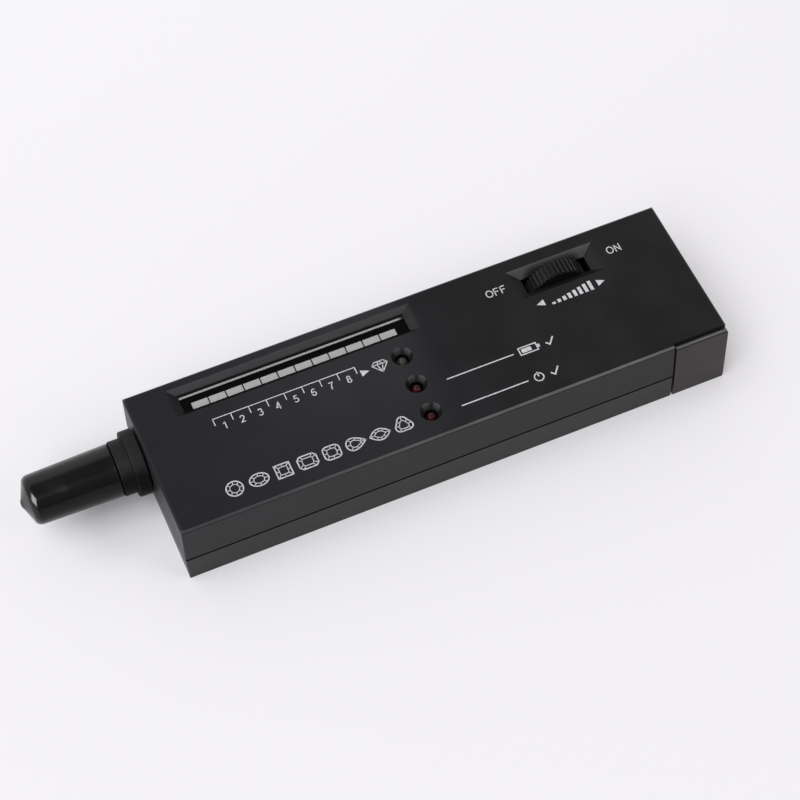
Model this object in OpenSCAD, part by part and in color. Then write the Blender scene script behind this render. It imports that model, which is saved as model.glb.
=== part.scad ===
// Hand-held thermal gem tester: a flat two-shell case with a capped probe at its front end,
// a bar of scale lamps, three round lamps, a volume wheel and a battery behind a slide-off cover.
// Lengths run back from the front face of the case, the probe points forward and the case lies on its base.

/* [Case] */
// Length of the case at its parting line
body_l = 155.6; // [152:0.2:190]
// Width of the case at its parting line
body_w = 46; // [45:0.2:60]
// Height of the case
body_h = 22.5; // [22:0.1:30]
// Height of the parting line above the table
split_h = 9.6; // [8:0.1:12]
// Thickness of the case walls
wall = 2; // [1.6:0.1:2.2]
// How far the walls lean in at the top and at the base
draft = 0.3; // [0:0.05:0.6]
// Rounding of the upper edges
edge_r = 1.1; // [0.4:0.1:1.6]
// Rounding of the upright corners
corner_r = 0.8; // [0.4:0.1:2]
// Height of the shadow groove along the parting line
groove_h = 0.55; // [0.2:0.05:0.6]
// Depth of the shadow groove
groove_d = 0.8; // [0.4:0.1:1.2]
// Diameter of the posts that the case screws hold together
post_d = 6; // [5:0.2:7]

/* [Scale display] */
// Front end of the display opening behind the front face
display_x = 14.15; // [13:0.05:16]
// Centre of the display opening from the far side of the case
display_in = 7.6; // [7.4:0.1:9]
// Length of the display opening
display_l = 64.3; // [61:0.1:66]
// Width of the display opening
display_w = 5.4; // [4.5:0.1:5.8]
// Bevel of the display opening along the case
display_bevel_x = 2.7; // [1:0.1:3.5]
// Bevel of the display opening across the case
display_bevel_y = 1.8; // [1:0.1:2.2]
// Number of scale lamps
scale_count = 12; // [8:1:12]
// Spacing of the scale lamps
scale_pitch = 4.88; // [4.4:0.02:4.9]
// Length of a scale lamp
scale_lamp_l = 4.6; // [3:0.1:4.6]
// Width of a scale lamp
scale_lamp_w = 2.1; // [1.5:0.1:2.4]
// Height of a scale lamp
scale_lamp_h = 7; // [5:0.1:8]
// How far the lamp row sits forward of the middle of the opening
scale_shift = 0.5; // [0:0.1:1]
// How far the lamp row sits from the near edge of the opening
scale_inset = 0.4; // [0.3:0.1:1.5]
// Wall of the pale tray round the lamp row
tray_wall = 0.8; // [0.6:0.1:1]

/* [Round lamps] */
// Place of the round lamps behind the front face
lamp_x = 72.7; // [70:0.1:76]
// Place of the first round lamp across the case
lamp_y = 4.6; // [3:0.1:6]
// Spacing of the round lamps across the case
lamp_pitch = 9.65; // [8:0.05:10]
// Diameter of a round lamp
lamp_d = 3; // [2.5:0.1:3.4]
// Height of a round lamp with its dome and flange
lamp_h = 5.3; // [4.5:0.1:6]
// Diameter of the lamp countersinks at the top face
lamp_cone_d = 5.9; // [5:0.1:7]
// Depth of the top of the lamp domes below the top face
lamp_sink = 1.4; // [0.8:0.1:2]

/* [Volume wheel] */
// Axis of the wheel from the rear end of the case
wheel_back = 33.9; // [32:0.1:36]
// Middle of the wheel from the far side of the case
wheel_in = 9.65; // [9.2:0.05:10]
// Diameter of the wheel
wheel_d = 18.4; // [17:0.1:19]
// Width of the wheel
wheel_w = 4.3; // [3.5:0.1:4.6]
// How far the wheel stands above the top face
wheel_proud = 1.5; // [0.8:0.1:2]
// Number of grip ribs round the wheel
wheel_ribs = 44; // [30:1:50]
// Height of a grip rib
rib_h = 0.6; // [0.3:0.1:0.9]
// Width of a grip rib
rib_w = 0.65; // [0.4:0.05:0.7]
// Length of the wheel slot
slot_l = 18.8; // [18:0.1:20]
// Gap on each side of the wheel in its slot
slot_gap = 0.25; // [0.15:0.05:0.5]
// Bevel of the wheel slot along the case
slot_bevel_x = 3.5; // [2:0.1:4]
// Bevel of the wheel slot across the case
slot_bevel_y = 2.6; // [1.5:0.1:3]
// Diameter of the control's shaft
shaft_d = 3; // [2.8:0.1:3.4]
// Size of the square body of the volume control
control_size = 10; // [9:0.1:10.4]
// Depth of the volume control
control_t = 4; // [3.4:0.1:4.2]

/* [Battery and cover] */
// Length of the battery cover
cover_l = 16.1; // [14:0.1:17]
// Thickness of the cover's walls
cover_wall = 1.5; // [1.2:0.1:1.8]
// How far the cover's side wall stays below the top face
cover_drop = 1.2; // [0.8:0.1:1.6]
// Width of the joint in front of the cover
cover_seam = 0.6; // [0.3:0.05:0.8]
// Reach of the cover's tongues into the case
tongue_l = 8; // [5:0.5:9]
// Thickness of the cover's floor tongue
tongue_t = 1.2; // [1:0.1:1.6]
// Depth of the pocket in the near wall that takes the cover's side tongue
pocket_d = 1; // [0.8:0.1:1.2]
// Length of the battery over its terminals
battery_l = 48.5; // [44:0.1:50]
// Width of the battery
battery_w = 26.5; // [24:0.1:28]
// Play between the battery and the top wall
battery_play = 1; // [0.4:0.1:2]

/* [Probe] */
// Axis of the probe across the case, towards the far side
probe_y = 9.75; // [6:0.05:11]
// How far the probe's axis lies below the middle of the case's height
probe_drop = 0.1; // [-0.4:0.05:0.4]
// Diameter of the collar's flange
flange_d = 18.2; // [17.4:0.1:20]
// Length of the collar's flange
flange_l = 3.55; // [2:0.05:5]
// Diameter of the collar's ring
ring_d = 15.2; // [14.8:0.1:17]
// Length of the collar's ring
ring_l = 3.6; // [2:0.1:5]
// Diameter of the spigot that the cap slides on
spigot_d = 11; // [10:0.1:11.4]
// Length of that spigot
spigot_l = 6; // [4:0.1:7]
// Diameter of the collar's neck in the case wall
neck_d = 13; // [12:0.1:14]
// Diameter of the probe barrel
barrel_d = 8; // [7:0.1:8.6]
// Reach of the barrel in front of the case
barrel_reach = 21.5; // [20:0.1:22]
// Diameter of the probe tip
tip_d = 1.6; // [1:0.1:2]
// Reach of the tip in front of the case
tip_reach = 26; // [25:0.1:26.5]
// Travel of the tip when it is pressed on a stone
tip_travel = 1.5; // [0.5:0.1:2]
// Diameter of the cap at its mouth
cap_d = 14.7; // [14.2:0.1:15.2]
// Diameter of the cap at its shoulder
cap_end_d = 13.8; // [13.4:0.1:14.4]
// Length of the cap
cap_l = 26.2; // [25.6:0.1:30]
// Thickness of the cap's closed end
cap_end_t = 2.2; // [1.6:0.1:2.6]

/* [Circuit board] */
// Thickness of the board
board_t = 1.6; // [1:0.1:1.6]
// Height of the posts that carry the board
board_post_h = 6; // [5:0.1:6.4]

/* [Hidden] */
$fn = 64;
wire_fn = 8;
spring_fn = 6;
// Overshoot of cuts that run out of a solid
cut = 1;
// Sliding gap between flat faces, running gap between round ones, and gap between fixed pieces
slide_gap = 0.2;
run_gap = 0.06;
fix_gap = 0.1;

inner_y = body_w / 2 - wall;
roof_z = body_h - wall;
lean = atan(draft / (body_h - split_h));
board_z = wall + board_post_h;
board_top = board_z + board_t;

// Places along the probe, counted forward from the front face of the case
probe_z = body_h / 2 - probe_drop;
collar_gap = 0.35;
inner_flange_t = 1.5;
flange_room = 1.05;
inner_flange_d = roof_z - wall - 2 * flange_room;
collar_back = -(wall + fix_gap + inner_flange_t);
flange_end = collar_gap + flange_l;
ring_end = flange_end + ring_l;
spigot_end = ring_end + spigot_l;
collar_bevel = 0.3;
barrel_flange_t = 1.5;
barrel_flange_w = 1.2;
barrel_nose_w = 1.1;
barrel_back = collar_back - barrel_flange_t;
spring_room = 1.25;
barrel_bore_d = tip_d + 2 * spring_room;
tip_guide_l = 4.5;
tip_stop = barrel_reach - tip_guide_l;
tip_cone_l = 5.5;
head_l = 2;
stub_l = 3;
stub_d = 1.2;
heater_t = 0.42;
head_back = tip_stop - run_gap - head_l;
plug_front = 4;
plug_head_t = 1.5;
plug_head_w = 0.4;
plug_back = barrel_back - plug_head_t;
spring_wire_d = 0.36;
spring_turns = 8;
cap_mouth = ring_end + fix_gap;
cap_end = cap_mouth + cap_l;
cap_bore_d = spigot_d + 2 * fix_gap;
cap_bevel = 0.3;
cap_shoulder_r = 2.4;
cap_cone_l = 4.1;
cap_nose_r = 2.6;
cap_inner_cone_l = 3.1;

total_l = cap_end + body_l;
front_x = cap_end - total_l / 2;

// Battery bay, counted from the rear end of the case
seam_x = body_l - cover_l;
battery_slack = 0.6;
terminal_h = 2.9;
can_r = 1.5;
battery_h = roof_z - wall - battery_play;
battery_back = body_l - cover_wall - battery_slack;
battery_front = battery_back - battery_l;
battery_near = -(inner_y - 2 * slide_gap);
battery_mid_y = battery_near + battery_w / 2;
battery_far = battery_near + battery_w;
battery_mid_z = wall + battery_h / 2;
bay_rib_t = 1.2;
bay_rib_h = 4;
snap_rib_h = 6;
terminal_gap_y = 12.7;
stud_d = 5.6;
socket_d = 8.2;
socket_floor = 0.4;
snap_t = 3;
snap_w = 24;
snap_h = 12;
snap_x = battery_front - snap_t;

wheel_x = body_l - wheel_back;
wheel_y = body_w / 2 - wheel_in;
wheel_z = body_h + wheel_proud - wheel_d / 2;
wheel_near = wheel_y - wheel_w / 2;
wheel_far = wheel_y + wheel_w / 2;
slot_w = wheel_w + 2 * slot_gap;
control_gap = 0.5;
control_near = wheel_far + control_gap;
wheel_recess = 1.6;
recess_w = 1;
shaft_depth = 2.4;
wheel_screw_d = 1.6;
wheel_screw_l = 3.4;
wheel_screw_head_t = 1.2;
wheel_screw_head_w = 0.7;
screw_slot_w = 0.5;
screw_slot_d = 0.6;

// Posts and screws of the case
post_gap = 0.5;
post_y = inner_y - post_d / 2 - post_gap;
front_post_x = 9;
rear_post_gap = 1.5;
rear_post_x = snap_x - rear_post_gap - post_d / 2;
far_post_gap = 1;
far_post_x = seam_x - far_post_gap - post_d / 2;
post_spots = [
    [front_post_x, -post_y],
    [front_post_x, post_y],
    [rear_post_x, -post_y],
    [far_post_x, post_y]
];
screw_d = 2.4;
screw_head_d = 5;
screw_head_h = 2;
screw_seat_z = 3;
screw_play = 0.3;
screw_grip = 7.4;
screw_end_z = split_h + screw_grip;

// Tongues of the cover: one in a pocket of the near wall, one beside the battery's rib
tongue_root = 3;
side_tongue_rise = 1;
side_tongue_drop = 3;
side_tongue_z = split_h + side_tongue_rise;
side_tongue_h = roof_z - side_tongue_drop - side_tongue_z;
floor_tongue_y = battery_far + 2 * slide_gap + bay_rib_t;
floor_tongue_w = post_y - post_d / 2 - slide_gap - floor_tongue_y;

// Outline of the board and its screws
board_front_gap = 0.6;
board_rear_gap = 1;
board_side_gap = 0.7;
board_x0 = front_post_x + post_d / 2 + board_front_gap;
board_x1 = rear_post_x - post_d / 2 - board_rear_gap;
board_y = inner_y - board_side_gap;
strip_over = 4;
strip_x1 = wheel_x + control_size / 2 + strip_over;
board_screw_d = 1.9;
board_screw_l = 4;
board_screw_play = 0.2;
board_head_d = 4;
board_head_h = 1.5;
board_post_d = 5;
front_screw_in = 4.4;
rear_screw_in = 4.6;
side_screw_in = 3.3;
mid_screw_y = -3.5;
board_spots = [
    [board_x0 + front_screw_in, side_screw_in - board_y],
    [board_x0 + front_screw_in, mid_screw_y],
    [board_x1 - rear_screw_in, lamp_y - lamp_pitch / 2],
    [board_x1 - rear_screw_in, lamp_y - lamp_pitch - lamp_pitch / 2]
];

// Pieces on the board, placed from its front edge and the near ones from its near edge
chip_pitch = 2.54;
chip_t = 3.3;
chip_half = 3.2;
chip_lift = 0.8;
chip_leg_t = 0.6;
chip_in = 18.9;
driver_y = 5.4;
driver_pitch = 9.4;
amplifier_in = 5.8;
trimmer_size = 6.6;
trimmer_h = 4.8;
trimmer_disc_d = 4.4;
trimmer_disc_h = 0.5;
trimmer_slot_w = 0.8;
trimmer_slot_d = 0.8;
trimmer_in = 34.4;
trimmer_y = 5.5;
trimmer_pitch = 7.5;
capacitor_d = 5;
capacitor_h = 8;
capacitor_rim = 0.5;
capacitor_dent = 0.2;
capacitor_in = 40.9;
resistor_d = 2.3;
resistor_l = 6.3;
resistor_lead = 0.5;
resistor_span = 10;
resistor_lift = 0.2;
resistor_in = 29.9;
resistor_pitch = 2.6;
resistor_side_in = 6.3;
buzzer_d = 12;
buzzer_h = 7.5;
buzzer_hole_d = 2;
buzzer_hole_l = 2.5;
buzzer_in = 43.9;
buzzer_side_in = 7.3;

// Display stack under the top wall
display_mid = display_x + display_l / 2;
display_y = body_w / 2 - display_in;
lamp_face_z = roof_z - slide_gap;
row_l = (scale_count - 1) * scale_pitch + scale_lamp_l;
row_x0 = display_mid - scale_shift - row_l / 2;
row_y0 = display_y - display_w / 2 + scale_inset;
tray_l = max(display_l, row_l + 2 * (scale_shift + 2 * fix_gap));
mask_t = 0.6;
mask_sink = 0.4;
lamp_gap = 0.25;
lamp_rim = 0.4;
lamp_flange_t = 1;
lamp_base_z = body_h - lamp_sink - lamp_h;
lamp_leg = 0.5;
lamp_leg_gap = 1.27;
spacer_rim = 0.8;

// Wires
wire_d = 1.3;
wire_steps = 10;
snap_wire_gap = 5;
snap_wire_reach = 4;
snap_pad_in = 1.5;
probe_wire_gap = 1.8;
probe_wire_reach = 3;
probe_pad_gap = 2.2;
probe_pad_in = 3;
probe_pad_y = 3.5;

abs_black = [0.15, 0.15, 0.16];
gloss_black = [0.06, 0.06, 0.07];
steel = [0.72, 0.73, 0.75];
part_black = [0.1, 0.1, 0.11];

// Helpers

module from_front() {
    translate([front_x, 0, 0]) children();
}

// Turns a shape made along +Z so that its height counts forward along the probe
module along_probe() {
    from_front() translate([0, probe_y, probe_z]) rotate([0, -90, 0]) children();
}

// Turns a shape made along +Z so that its height runs across the case, from y
module across(x, y, z) {
    from_front() translate([x, y, z]) rotate([-90, 0, 0]) children();
}

function arc(c, r, a0, a1, steps) =
    [for (i = [0 : steps]) let (a = a0 + (a1 - a0) * i / steps) c + r * [cos(a), sin(a)]];

function unit(v) = v / norm(v);

function bezier(a, b, c, d, t) =
    a * pow(1 - t, 3) + b * 3 * t * pow(1 - t, 2) + c * 3 * t * t * (1 - t) + d * pow(t, 3);

// A wire's route: straight out of one end, an easy curve, and straight into the other
function wire_route(a, out_a, b, out_b, stub, reach, steps) = concat(
    [a],
    [for (i = [0 : steps]) bezier(
        a + out_a * stub, a + out_a * (stub + reach), b + out_b * (stub + reach), b + out_b * stub, i / steps)],
    [b]
);

// A round tube along points; side is a direction that the route never runs along
module tube(points, d, side, sides) {
    last = len(points) - 1;
    rings = [for (i = [0 : last])
        let (t = unit(points[min(i + 1, last)] - points[max(i - 1, 0)]))
        let (u = unit(cross(t, side)), v = cross(t, u))
        for (k = [0 : sides - 1])
            points[i] + d / 2 * (cos(360 * k / sides) * u + sin(360 * k / sides) * v)];
    walls = [for (i = [0 : last - 1], k = [0 : sides - 1])
        let (a = i * sides + k, b = i * sides + (k + 1) % sides)
        each [[a, a + sides, b], [b, a + sides, b + sides]]];
    first_cap = [for (k = [1 : sides - 2]) [0, k, k + 1]];
    last_cap = [for (k = [1 : sides - 2]) [last * sides, last * sides + k + 1, last * sides + k]];
    polyhedron(rings, concat(walls, first_cap, last_cap));
}

// Half width of a wall pair at a height, with its lean
function half_at(half, z) = half - draft * (z - split_h) / (body_h - split_h);

// Upright outline with leaning sides and rounded upper corners
module leaning_outline(half, h) {
    round_u = half_at(half, h - edge_r) - edge_r / cos(lean);
    side = [round_u + edge_r * cos(lean), h - edge_r + edge_r * sin(lean)];
    polygon([
        [-(half - draft), 0], [half - draft, 0], [half, split_h], side, [round_u, h],
        [-round_u, h], [-side.x, side.y], [-half, split_h]
    ]);
    for (s = [-1, 1]) translate([s * round_u, h - edge_r]) circle(edge_r);
}

module rounded_plan(l, w, r) {
    translate([r, -w / 2]) square([l - 2 * r, w]);
    translate([0, r - w / 2]) square([l, w - 2 * r]);
    for (x = [r, l - r], y = [-1, 1]) translate([x, y * (w / 2 - r)]) circle(r);
}

// Outer form of the closed case, up to a height
module case_form(h) {
    intersection() {
        translate([body_l / 2, body_w / 2 + cut, 0]) rotate([90, 0, 0])
            linear_extrude(body_w + 2 * cut) leaning_outline(body_l / 2, h);
        translate([-cut, 0, 0]) rotate([90, 0, 90])
            linear_extrude(body_l + 2 * cut) leaning_outline(body_w / 2, h);
        linear_extrude(h) rounded_plan(body_l, body_w, corner_r);
    }
}

// A slab across the whole case between two heights
module slab(z0, z1) {
    translate([-cut, -body_w / 2 - cut, z0]) cube([body_l + 2 * cut, body_w + 2 * cut, z1 - z0]);
}

// Inside of the case, open towards the rear end
module case_room() {
    translate([wall, -inner_y, wall]) cube([body_l, 2 * inner_y, roof_z - wall]);
}

// Near wall of the case behind the cover's joint
module cover_side_room() {
    translate([seam_x, -body_w, -cut]) cube([cover_l + cut, body_w - inner_y, body_h + 2 * cut]);
}

// Opening through the top wall that widens towards the top face
module bevelled_opening(x, y, l, w, bevel_x, bevel_y) {
    translate([x, y, 0]) intersection() {
        translate([0, w / 2 + bevel_y + cut, 0]) rotate([90, 0, 0])
            linear_extrude(w + 2 * bevel_y + 2 * cut) opening_outline(l / 2, bevel_x);
        translate([-l / 2 - bevel_x - cut, 0, 0]) rotate([90, 0, 90])
            linear_extrude(l + 2 * bevel_x + 2 * cut) opening_outline(w / 2, bevel_y);
    }
}

module opening_outline(half, bevel) {
    polygon([
        [-half, roof_z - cut], [half, roof_z - cut], [half, roof_z], [half + bevel, body_h],
        [half + bevel, body_h + cut], [-half - bevel, body_h + cut], [-half - bevel, body_h], [-half, roof_z]
    ]);
}

// Hole for the collar's neck through the front wall
module neck_hole() {
    translate([-cut, probe_y, probe_z]) rotate([0, 90, 0]) cylinder(d = neck_d + 2 * fix_gap, h = wall + 2 * cut);
}

// Case shells and cover

module top_case() {
    color(abs_black) from_front() difference() {
        union() {
            difference() {
                intersection() {
                    case_form(body_h);
                    slab(split_h, body_h + cut);
                }
                case_room();
                cover_side_room();
                tongue_pocket();
            }
            for (p = post_spots) translate([p.x, p.y, split_h]) cylinder(d = post_d, h = roof_z - split_h + wall / 2);
        }
        bevelled_opening(display_mid, display_y, display_l, display_w, display_bevel_x, display_bevel_y);
        bevelled_opening(wheel_x, wheel_y, slot_l, slot_w, slot_bevel_x, slot_bevel_y);
        for (i = [0 : 2]) translate([lamp_x, lamp_y - i * lamp_pitch, roof_z]) {
            cylinder(d1 = lamp_d + 2 * lamp_gap, d2 = lamp_cone_d, h = wall);
            translate([0, 0, -cut]) cylinder(d = lamp_d + 2 * lamp_gap, h = 2 * cut);
            translate([0, 0, wall]) cylinder(d = lamp_cone_d, h = cut);
        }
        for (p = post_spots) translate([p.x, p.y, split_h - cut])
            cylinder(d = screw_d + fix_gap, h = screw_end_z - split_h + 2 * cut);
        neck_hole();
    }
}

module bottom_case() {
    color(abs_black) from_front() difference() {
        union() {
            difference() {
                intersection() {
                    case_form(body_h);
                    slab(-cut, split_h);
                }
                case_room();
                cover_side_room();
                translate([seam_x, -body_w / 2, -cut]) cube([cover_l + cut, body_w / 2 + inner_y, wall + 2 * cut]);
                parting_groove();
            }
            for (p = post_spots) translate([p.x, p.y, 0]) cylinder(d = post_d, h = split_h);
            for (p = board_spots) translate([p.x, p.y, wall / 2]) cylinder(d = board_post_d, h = board_z - wall / 2);
            battery_ribs();
        }
        for (p = post_spots) translate([p.x, p.y, 0]) {
            translate([0, 0, -cut]) cylinder(d = screw_head_d + 2 * screw_play, h = screw_seat_z + cut);
            cylinder(d = screw_d + 2 * screw_play, h = split_h + cut);
        }
        for (p = board_spots) translate([p.x, p.y, wall]) cylinder(d = board_screw_d + fix_gap, h = board_z);
        neck_hole();
    }
}

module parting_groove() {
    difference() {
        slab(split_h - groove_h, split_h + cut);
        translate([groove_d, groove_d - body_w / 2, 0])
            cube([body_l - 2 * groove_d, body_w - 2 * groove_d, body_h]);
    }
}

// Ribs on the floor that keep the battery and its snap in place
module battery_ribs() {
    translate([battery_front + terminal_h, battery_far + slide_gap, wall / 2])
        cube([seam_x - battery_front - terminal_h, bay_rib_t, bay_rib_h]);
    translate([snap_x - slide_gap - bay_rib_t, battery_mid_y - snap_w / 4, wall / 2])
        cube([bay_rib_t, snap_w / 2, snap_rib_h]);
}

// Pocket in the near wall that the cover's side tongue slides into
module tongue_pocket() {
    translate([seam_x - tongue_l - slide_gap, -inner_y - pocket_d, side_tongue_z - slide_gap])
        cube([tongue_l + slide_gap + cut, pocket_d + cut, side_tongue_h + 2 * slide_gap]);
}

module battery_cover() {
    cover_x = seam_x + cover_seam;
    floor_t = wall - slide_gap;
    color(abs_black) from_front() union() {
        difference() {
            intersection() {
                case_form(body_h - cover_drop);
                translate([cover_x, -body_w, -cut]) cube([cover_l, body_w + inner_y - slide_gap, body_h]);
            }
            translate([cover_x - cut, cover_wall - body_w / 2, floor_t])
                cube([cover_l - cover_seam - cover_wall + cut, body_w, body_h]);
            translate([cover_x - cut, -inner_y - slide_gap, roof_z - slide_gap])
                cube([cover_l + cut, body_w, body_h]);
        }
        // side tongue and its root on the side wall
        translate([seam_x - tongue_l, slide_gap - inner_y - pocket_d, side_tongue_z])
            cube([tongue_l + cover_seam + tongue_root, pocket_d - slide_gap, side_tongue_h]);
        translate([cover_x, cover_wall / 2 - body_w / 2, side_tongue_z])
            cube([tongue_root, wall - cover_wall / 2, side_tongue_h]);
        // floor tongue and its root on the floor
        translate([seam_x - tongue_l, floor_tongue_y, wall + slide_gap])
            cube([tongue_l + cover_seam + tongue_root, floor_tongue_w, tongue_t]);
        translate([cover_x, floor_tongue_y, floor_t / 2])
            cube([tongue_root, floor_tongue_w, floor_t / 2 + 2 * slide_gap + tongue_t]);
    }
}

// Probe

module nose_collar() {
    bevel = collar_bevel;
    color(abs_black) along_probe() rotate_extrude() polygon([
        [barrel_d / 2 + run_gap, collar_back], [inner_flange_d / 2, collar_back],
        [inner_flange_d / 2, -wall - fix_gap], [neck_d / 2, -wall - fix_gap], [neck_d / 2, collar_gap],
        [flange_d / 2, collar_gap], [flange_d / 2, flange_end - bevel], [flange_d / 2 - bevel, flange_end],
        [ring_d / 2, flange_end], [ring_d / 2, ring_end - bevel], [ring_d / 2 - bevel, ring_end],
        [spigot_d / 2, ring_end], [spigot_d / 2, spigot_end - bevel], [spigot_d / 2 - bevel, spigot_end],
        [barrel_d / 2 + run_gap, spigot_end]
    ]);
}

module probe_barrel() {
    back_r = barrel_d / 2 + barrel_flange_w;
    nose_r = tip_d / 2 + barrel_nose_w;
    color(part_black) along_probe() rotate_extrude() polygon([
        [barrel_bore_d / 2, barrel_back], [back_r, barrel_back], [back_r, collar_back],
        [barrel_d / 2, collar_back], [barrel_d / 2, barrel_reach - tip_cone_l], [nose_r, barrel_reach],
        [tip_d / 2 + run_gap, barrel_reach], [tip_d / 2 + run_gap, tip_stop], [barrel_bore_d / 2, tip_stop]
    ]);
}

module probe_plug() {
    color([0.85, 0.83, 0.76]) along_probe() {
        translate([0, 0, plug_back]) cylinder(d = barrel_d + 2 * plug_head_w, h = plug_head_t);
        translate([0, 0, barrel_back]) cylinder(d = barrel_bore_d - fix_gap, h = plug_front - barrel_back);
    }
}

module probe_tip() {
    point_r = tip_d / 5;
    point_l = tip_d;
    color([0.78, 0.45, 0.25]) along_probe() rotate_extrude() polygon(concat(
        [
            [0, head_back - stub_l], [stub_d / 2, head_back - stub_l], [stub_d / 2, head_back],
            [barrel_bore_d / 2 - fix_gap, head_back], [barrel_bore_d / 2 - fix_gap, head_back + head_l],
            [tip_d / 2, head_back + head_l], [tip_d / 2, tip_reach - point_l]
        ],
        arc([0, tip_reach - point_r], point_r, 30, 90, 4)
    ));
}

module tip_heater() {
    color([0.9, 0.88, 0.82]) along_probe() translate([0, 0, head_back - stub_l]) difference() {
        cylinder(d = stub_d + run_gap + 2 * heater_t, h = stub_l - fix_gap);
        translate([0, 0, -cut]) cylinder(d = stub_d + run_gap, h = stub_l + 2 * cut);
    }
}

// Coil between the plug and the head of the tip
module probe_spring() {
    steps = 10;
    coil_r = barrel_bore_d / 2 - spring_wire_d / 2 - 2 * fix_gap;
    z0 = plug_front + spring_wire_d / 2 + run_gap;
    rise = head_back - plug_front - spring_wire_d - 2 * run_gap;
    route = [for (i = [0 : spring_turns * steps])
        [coil_r * cos(360 * i / steps), coil_r * sin(360 * i / steps), z0 + rise * i / (spring_turns * steps)]];
    last = len(route) - 1;
    spans = [for (i = [0 : last - steps / 2], j = [i + steps / 2 : last]) norm(route[i] - route[j])];
    echo(spring_gap = min(spans) - spring_wire_d);
    color(steel) along_probe() tube(route, spring_wire_d, [0, 0, 1], spring_fn);
}

module probe_cap() {
    cone_turn = 54;
    bevel = cap_bevel;
    inner_end = cap_end - cap_end_t;
    color(gloss_black) along_probe() rotate_extrude() polygon(concat(
        [
            [cap_bore_d / 2 + bevel, cap_mouth], [cap_d / 2 - bevel, cap_mouth], [cap_d / 2, cap_mouth + bevel]
        ],
        arc([cap_end_d / 2 - cap_shoulder_r, cap_end - cap_cone_l], cap_shoulder_r, 0, cone_turn, 8),
        arc([0, cap_end - cap_nose_r], cap_nose_r, cone_turn, 90, 5),
        [
            [0, inner_end], [cap_bore_d / 4, inner_end], [cap_bore_d / 2, inner_end - cap_inner_cone_l],
            [cap_bore_d / 2, cap_mouth + bevel]
        ]
    ));
}

// Board and what it carries

module circuit_board() {
    color([0.16, 0.36, 0.2]) from_front() difference() {
        union() {
            translate([board_x0, -board_y, board_z]) cube([board_x1 - board_x0, 2 * board_y, board_t]);
            translate([board_x1 - cut, control_near, board_z])
                cube([strip_x1 - board_x1 + cut, board_y - control_near, board_t]);
        }
        for (p = board_spots) translate([p.x, p.y, board_z - cut])
            cylinder(d = board_screw_d + 2 * board_screw_play, h = board_t + 2 * cut);
    }
}

// Pale frame that stands on the board round the lamp row
module lamp_tray() {
    w = display_w - tray_wall + fix_gap;
    y0 = display_y - display_w / 2 - fix_gap;
    color([0.8, 0.8, 0.78]) from_front() translate([display_mid - tray_l / 2, y0, board_top]) difference() {
        translate([-tray_wall, -tray_wall, 0])
            cube([tray_l + 2 * tray_wall, w + 2 * tray_wall, lamp_face_z - board_top]);
        translate([0, 0, -cut]) cube([tray_l, w, body_h]);
    }
}

// Black plate between the tray's walls, with a slot for the lamp row
module lamp_mask() {
    y0 = display_y - display_w / 2;
    w = display_w - tray_wall - fix_gap;
    color(gloss_black) from_front() translate([0, 0, lamp_face_z - mask_sink - mask_t]) difference() {
        translate([display_mid - tray_l / 2 + fix_gap, y0, 0]) cube([tray_l - 2 * fix_gap, w, mask_t]);
        translate([row_x0 - fix_gap, row_y0 - fix_gap, -cut])
            cube([row_l + 2 * fix_gap, scale_lamp_w + 2 * fix_gap, mask_t + 2 * cut]);
    }
}

module scale_lamps() {
    base_z = lamp_face_z - scale_lamp_h;
    color([0.75, 0.75, 0.75]) from_front() for (i = [0 : scale_count - 1])
        translate([row_x0 + i * scale_pitch, row_y0, 0]) {
            translate([0, 0, base_z]) cube([scale_lamp_l, scale_lamp_w, scale_lamp_h]);
            for (s = [-1, 1])
                translate([scale_lamp_l / 2 + s * lamp_leg_gap - lamp_leg / 2, scale_lamp_w / 2 - lamp_leg / 2, board_top])
                    cube([lamp_leg, lamp_leg, base_z - board_top + cut]);
        }
}

module round_lamp(place) {
    r = lamp_d / 2;
    from_front() translate([lamp_x, lamp_y - place * lamp_pitch, 0]) {
        translate([0, 0, lamp_base_z]) rotate_extrude() polygon(concat(
            [[0, 0], [r + lamp_rim, 0], [r + lamp_rim, lamp_flange_t], [r, lamp_flange_t]],
            arc([0, lamp_h - r], r, 0, 90, 8)
        ));
        for (s = [-1, 1]) translate([s * lamp_leg_gap - lamp_leg / 2, -lamp_leg / 2, board_top])
            cube([lamp_leg, lamp_leg, lamp_base_z - board_top + lamp_flange_t / 2]);
    }
}

module result_lamp() {
    color([0.35, 0.4, 0.2]) round_lamp(0);
}

module battery_lamp() {
    color([0.45, 0.05, 0.08]) round_lamp(1);
}

module ready_lamp() {
    color([0.45, 0.05, 0.08]) round_lamp(2);
}

module lamp_spacers() {
    color(part_black) from_front() for (i = [0 : 2])
        translate([lamp_x, lamp_y - i * lamp_pitch, board_top]) difference() {
            cylinder(d = lamp_d + 2 * spacer_rim, h = lamp_base_z - board_top);
            translate([0, 0, -cut]) cylinder(d = 2 * lamp_leg_gap + 2 * lamp_leg, h = body_h);
        }
}

// Volume wheel and its control

module volume_wheel() {
    color(gloss_black) across(wheel_x, wheel_near, wheel_z) difference() {
        linear_extrude(wheel_w) {
            circle(wheel_d / 2 - rib_h);
            for (k = [0 : wheel_ribs - 1]) rotate(k * 360 / wheel_ribs)
                translate([-rib_w / 2, wheel_d / 2 - 2 * rib_h]) square([rib_w, 2 * rib_h]);
        }
        translate([0, 0, -cut]) cylinder(d = shaft_d + run_gap, h = wheel_w + 2 * cut);
        translate([0, 0, -cut]) cylinder(d = shaft_d + 2 * recess_w, h = wheel_recess + cut);
    }
}

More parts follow.
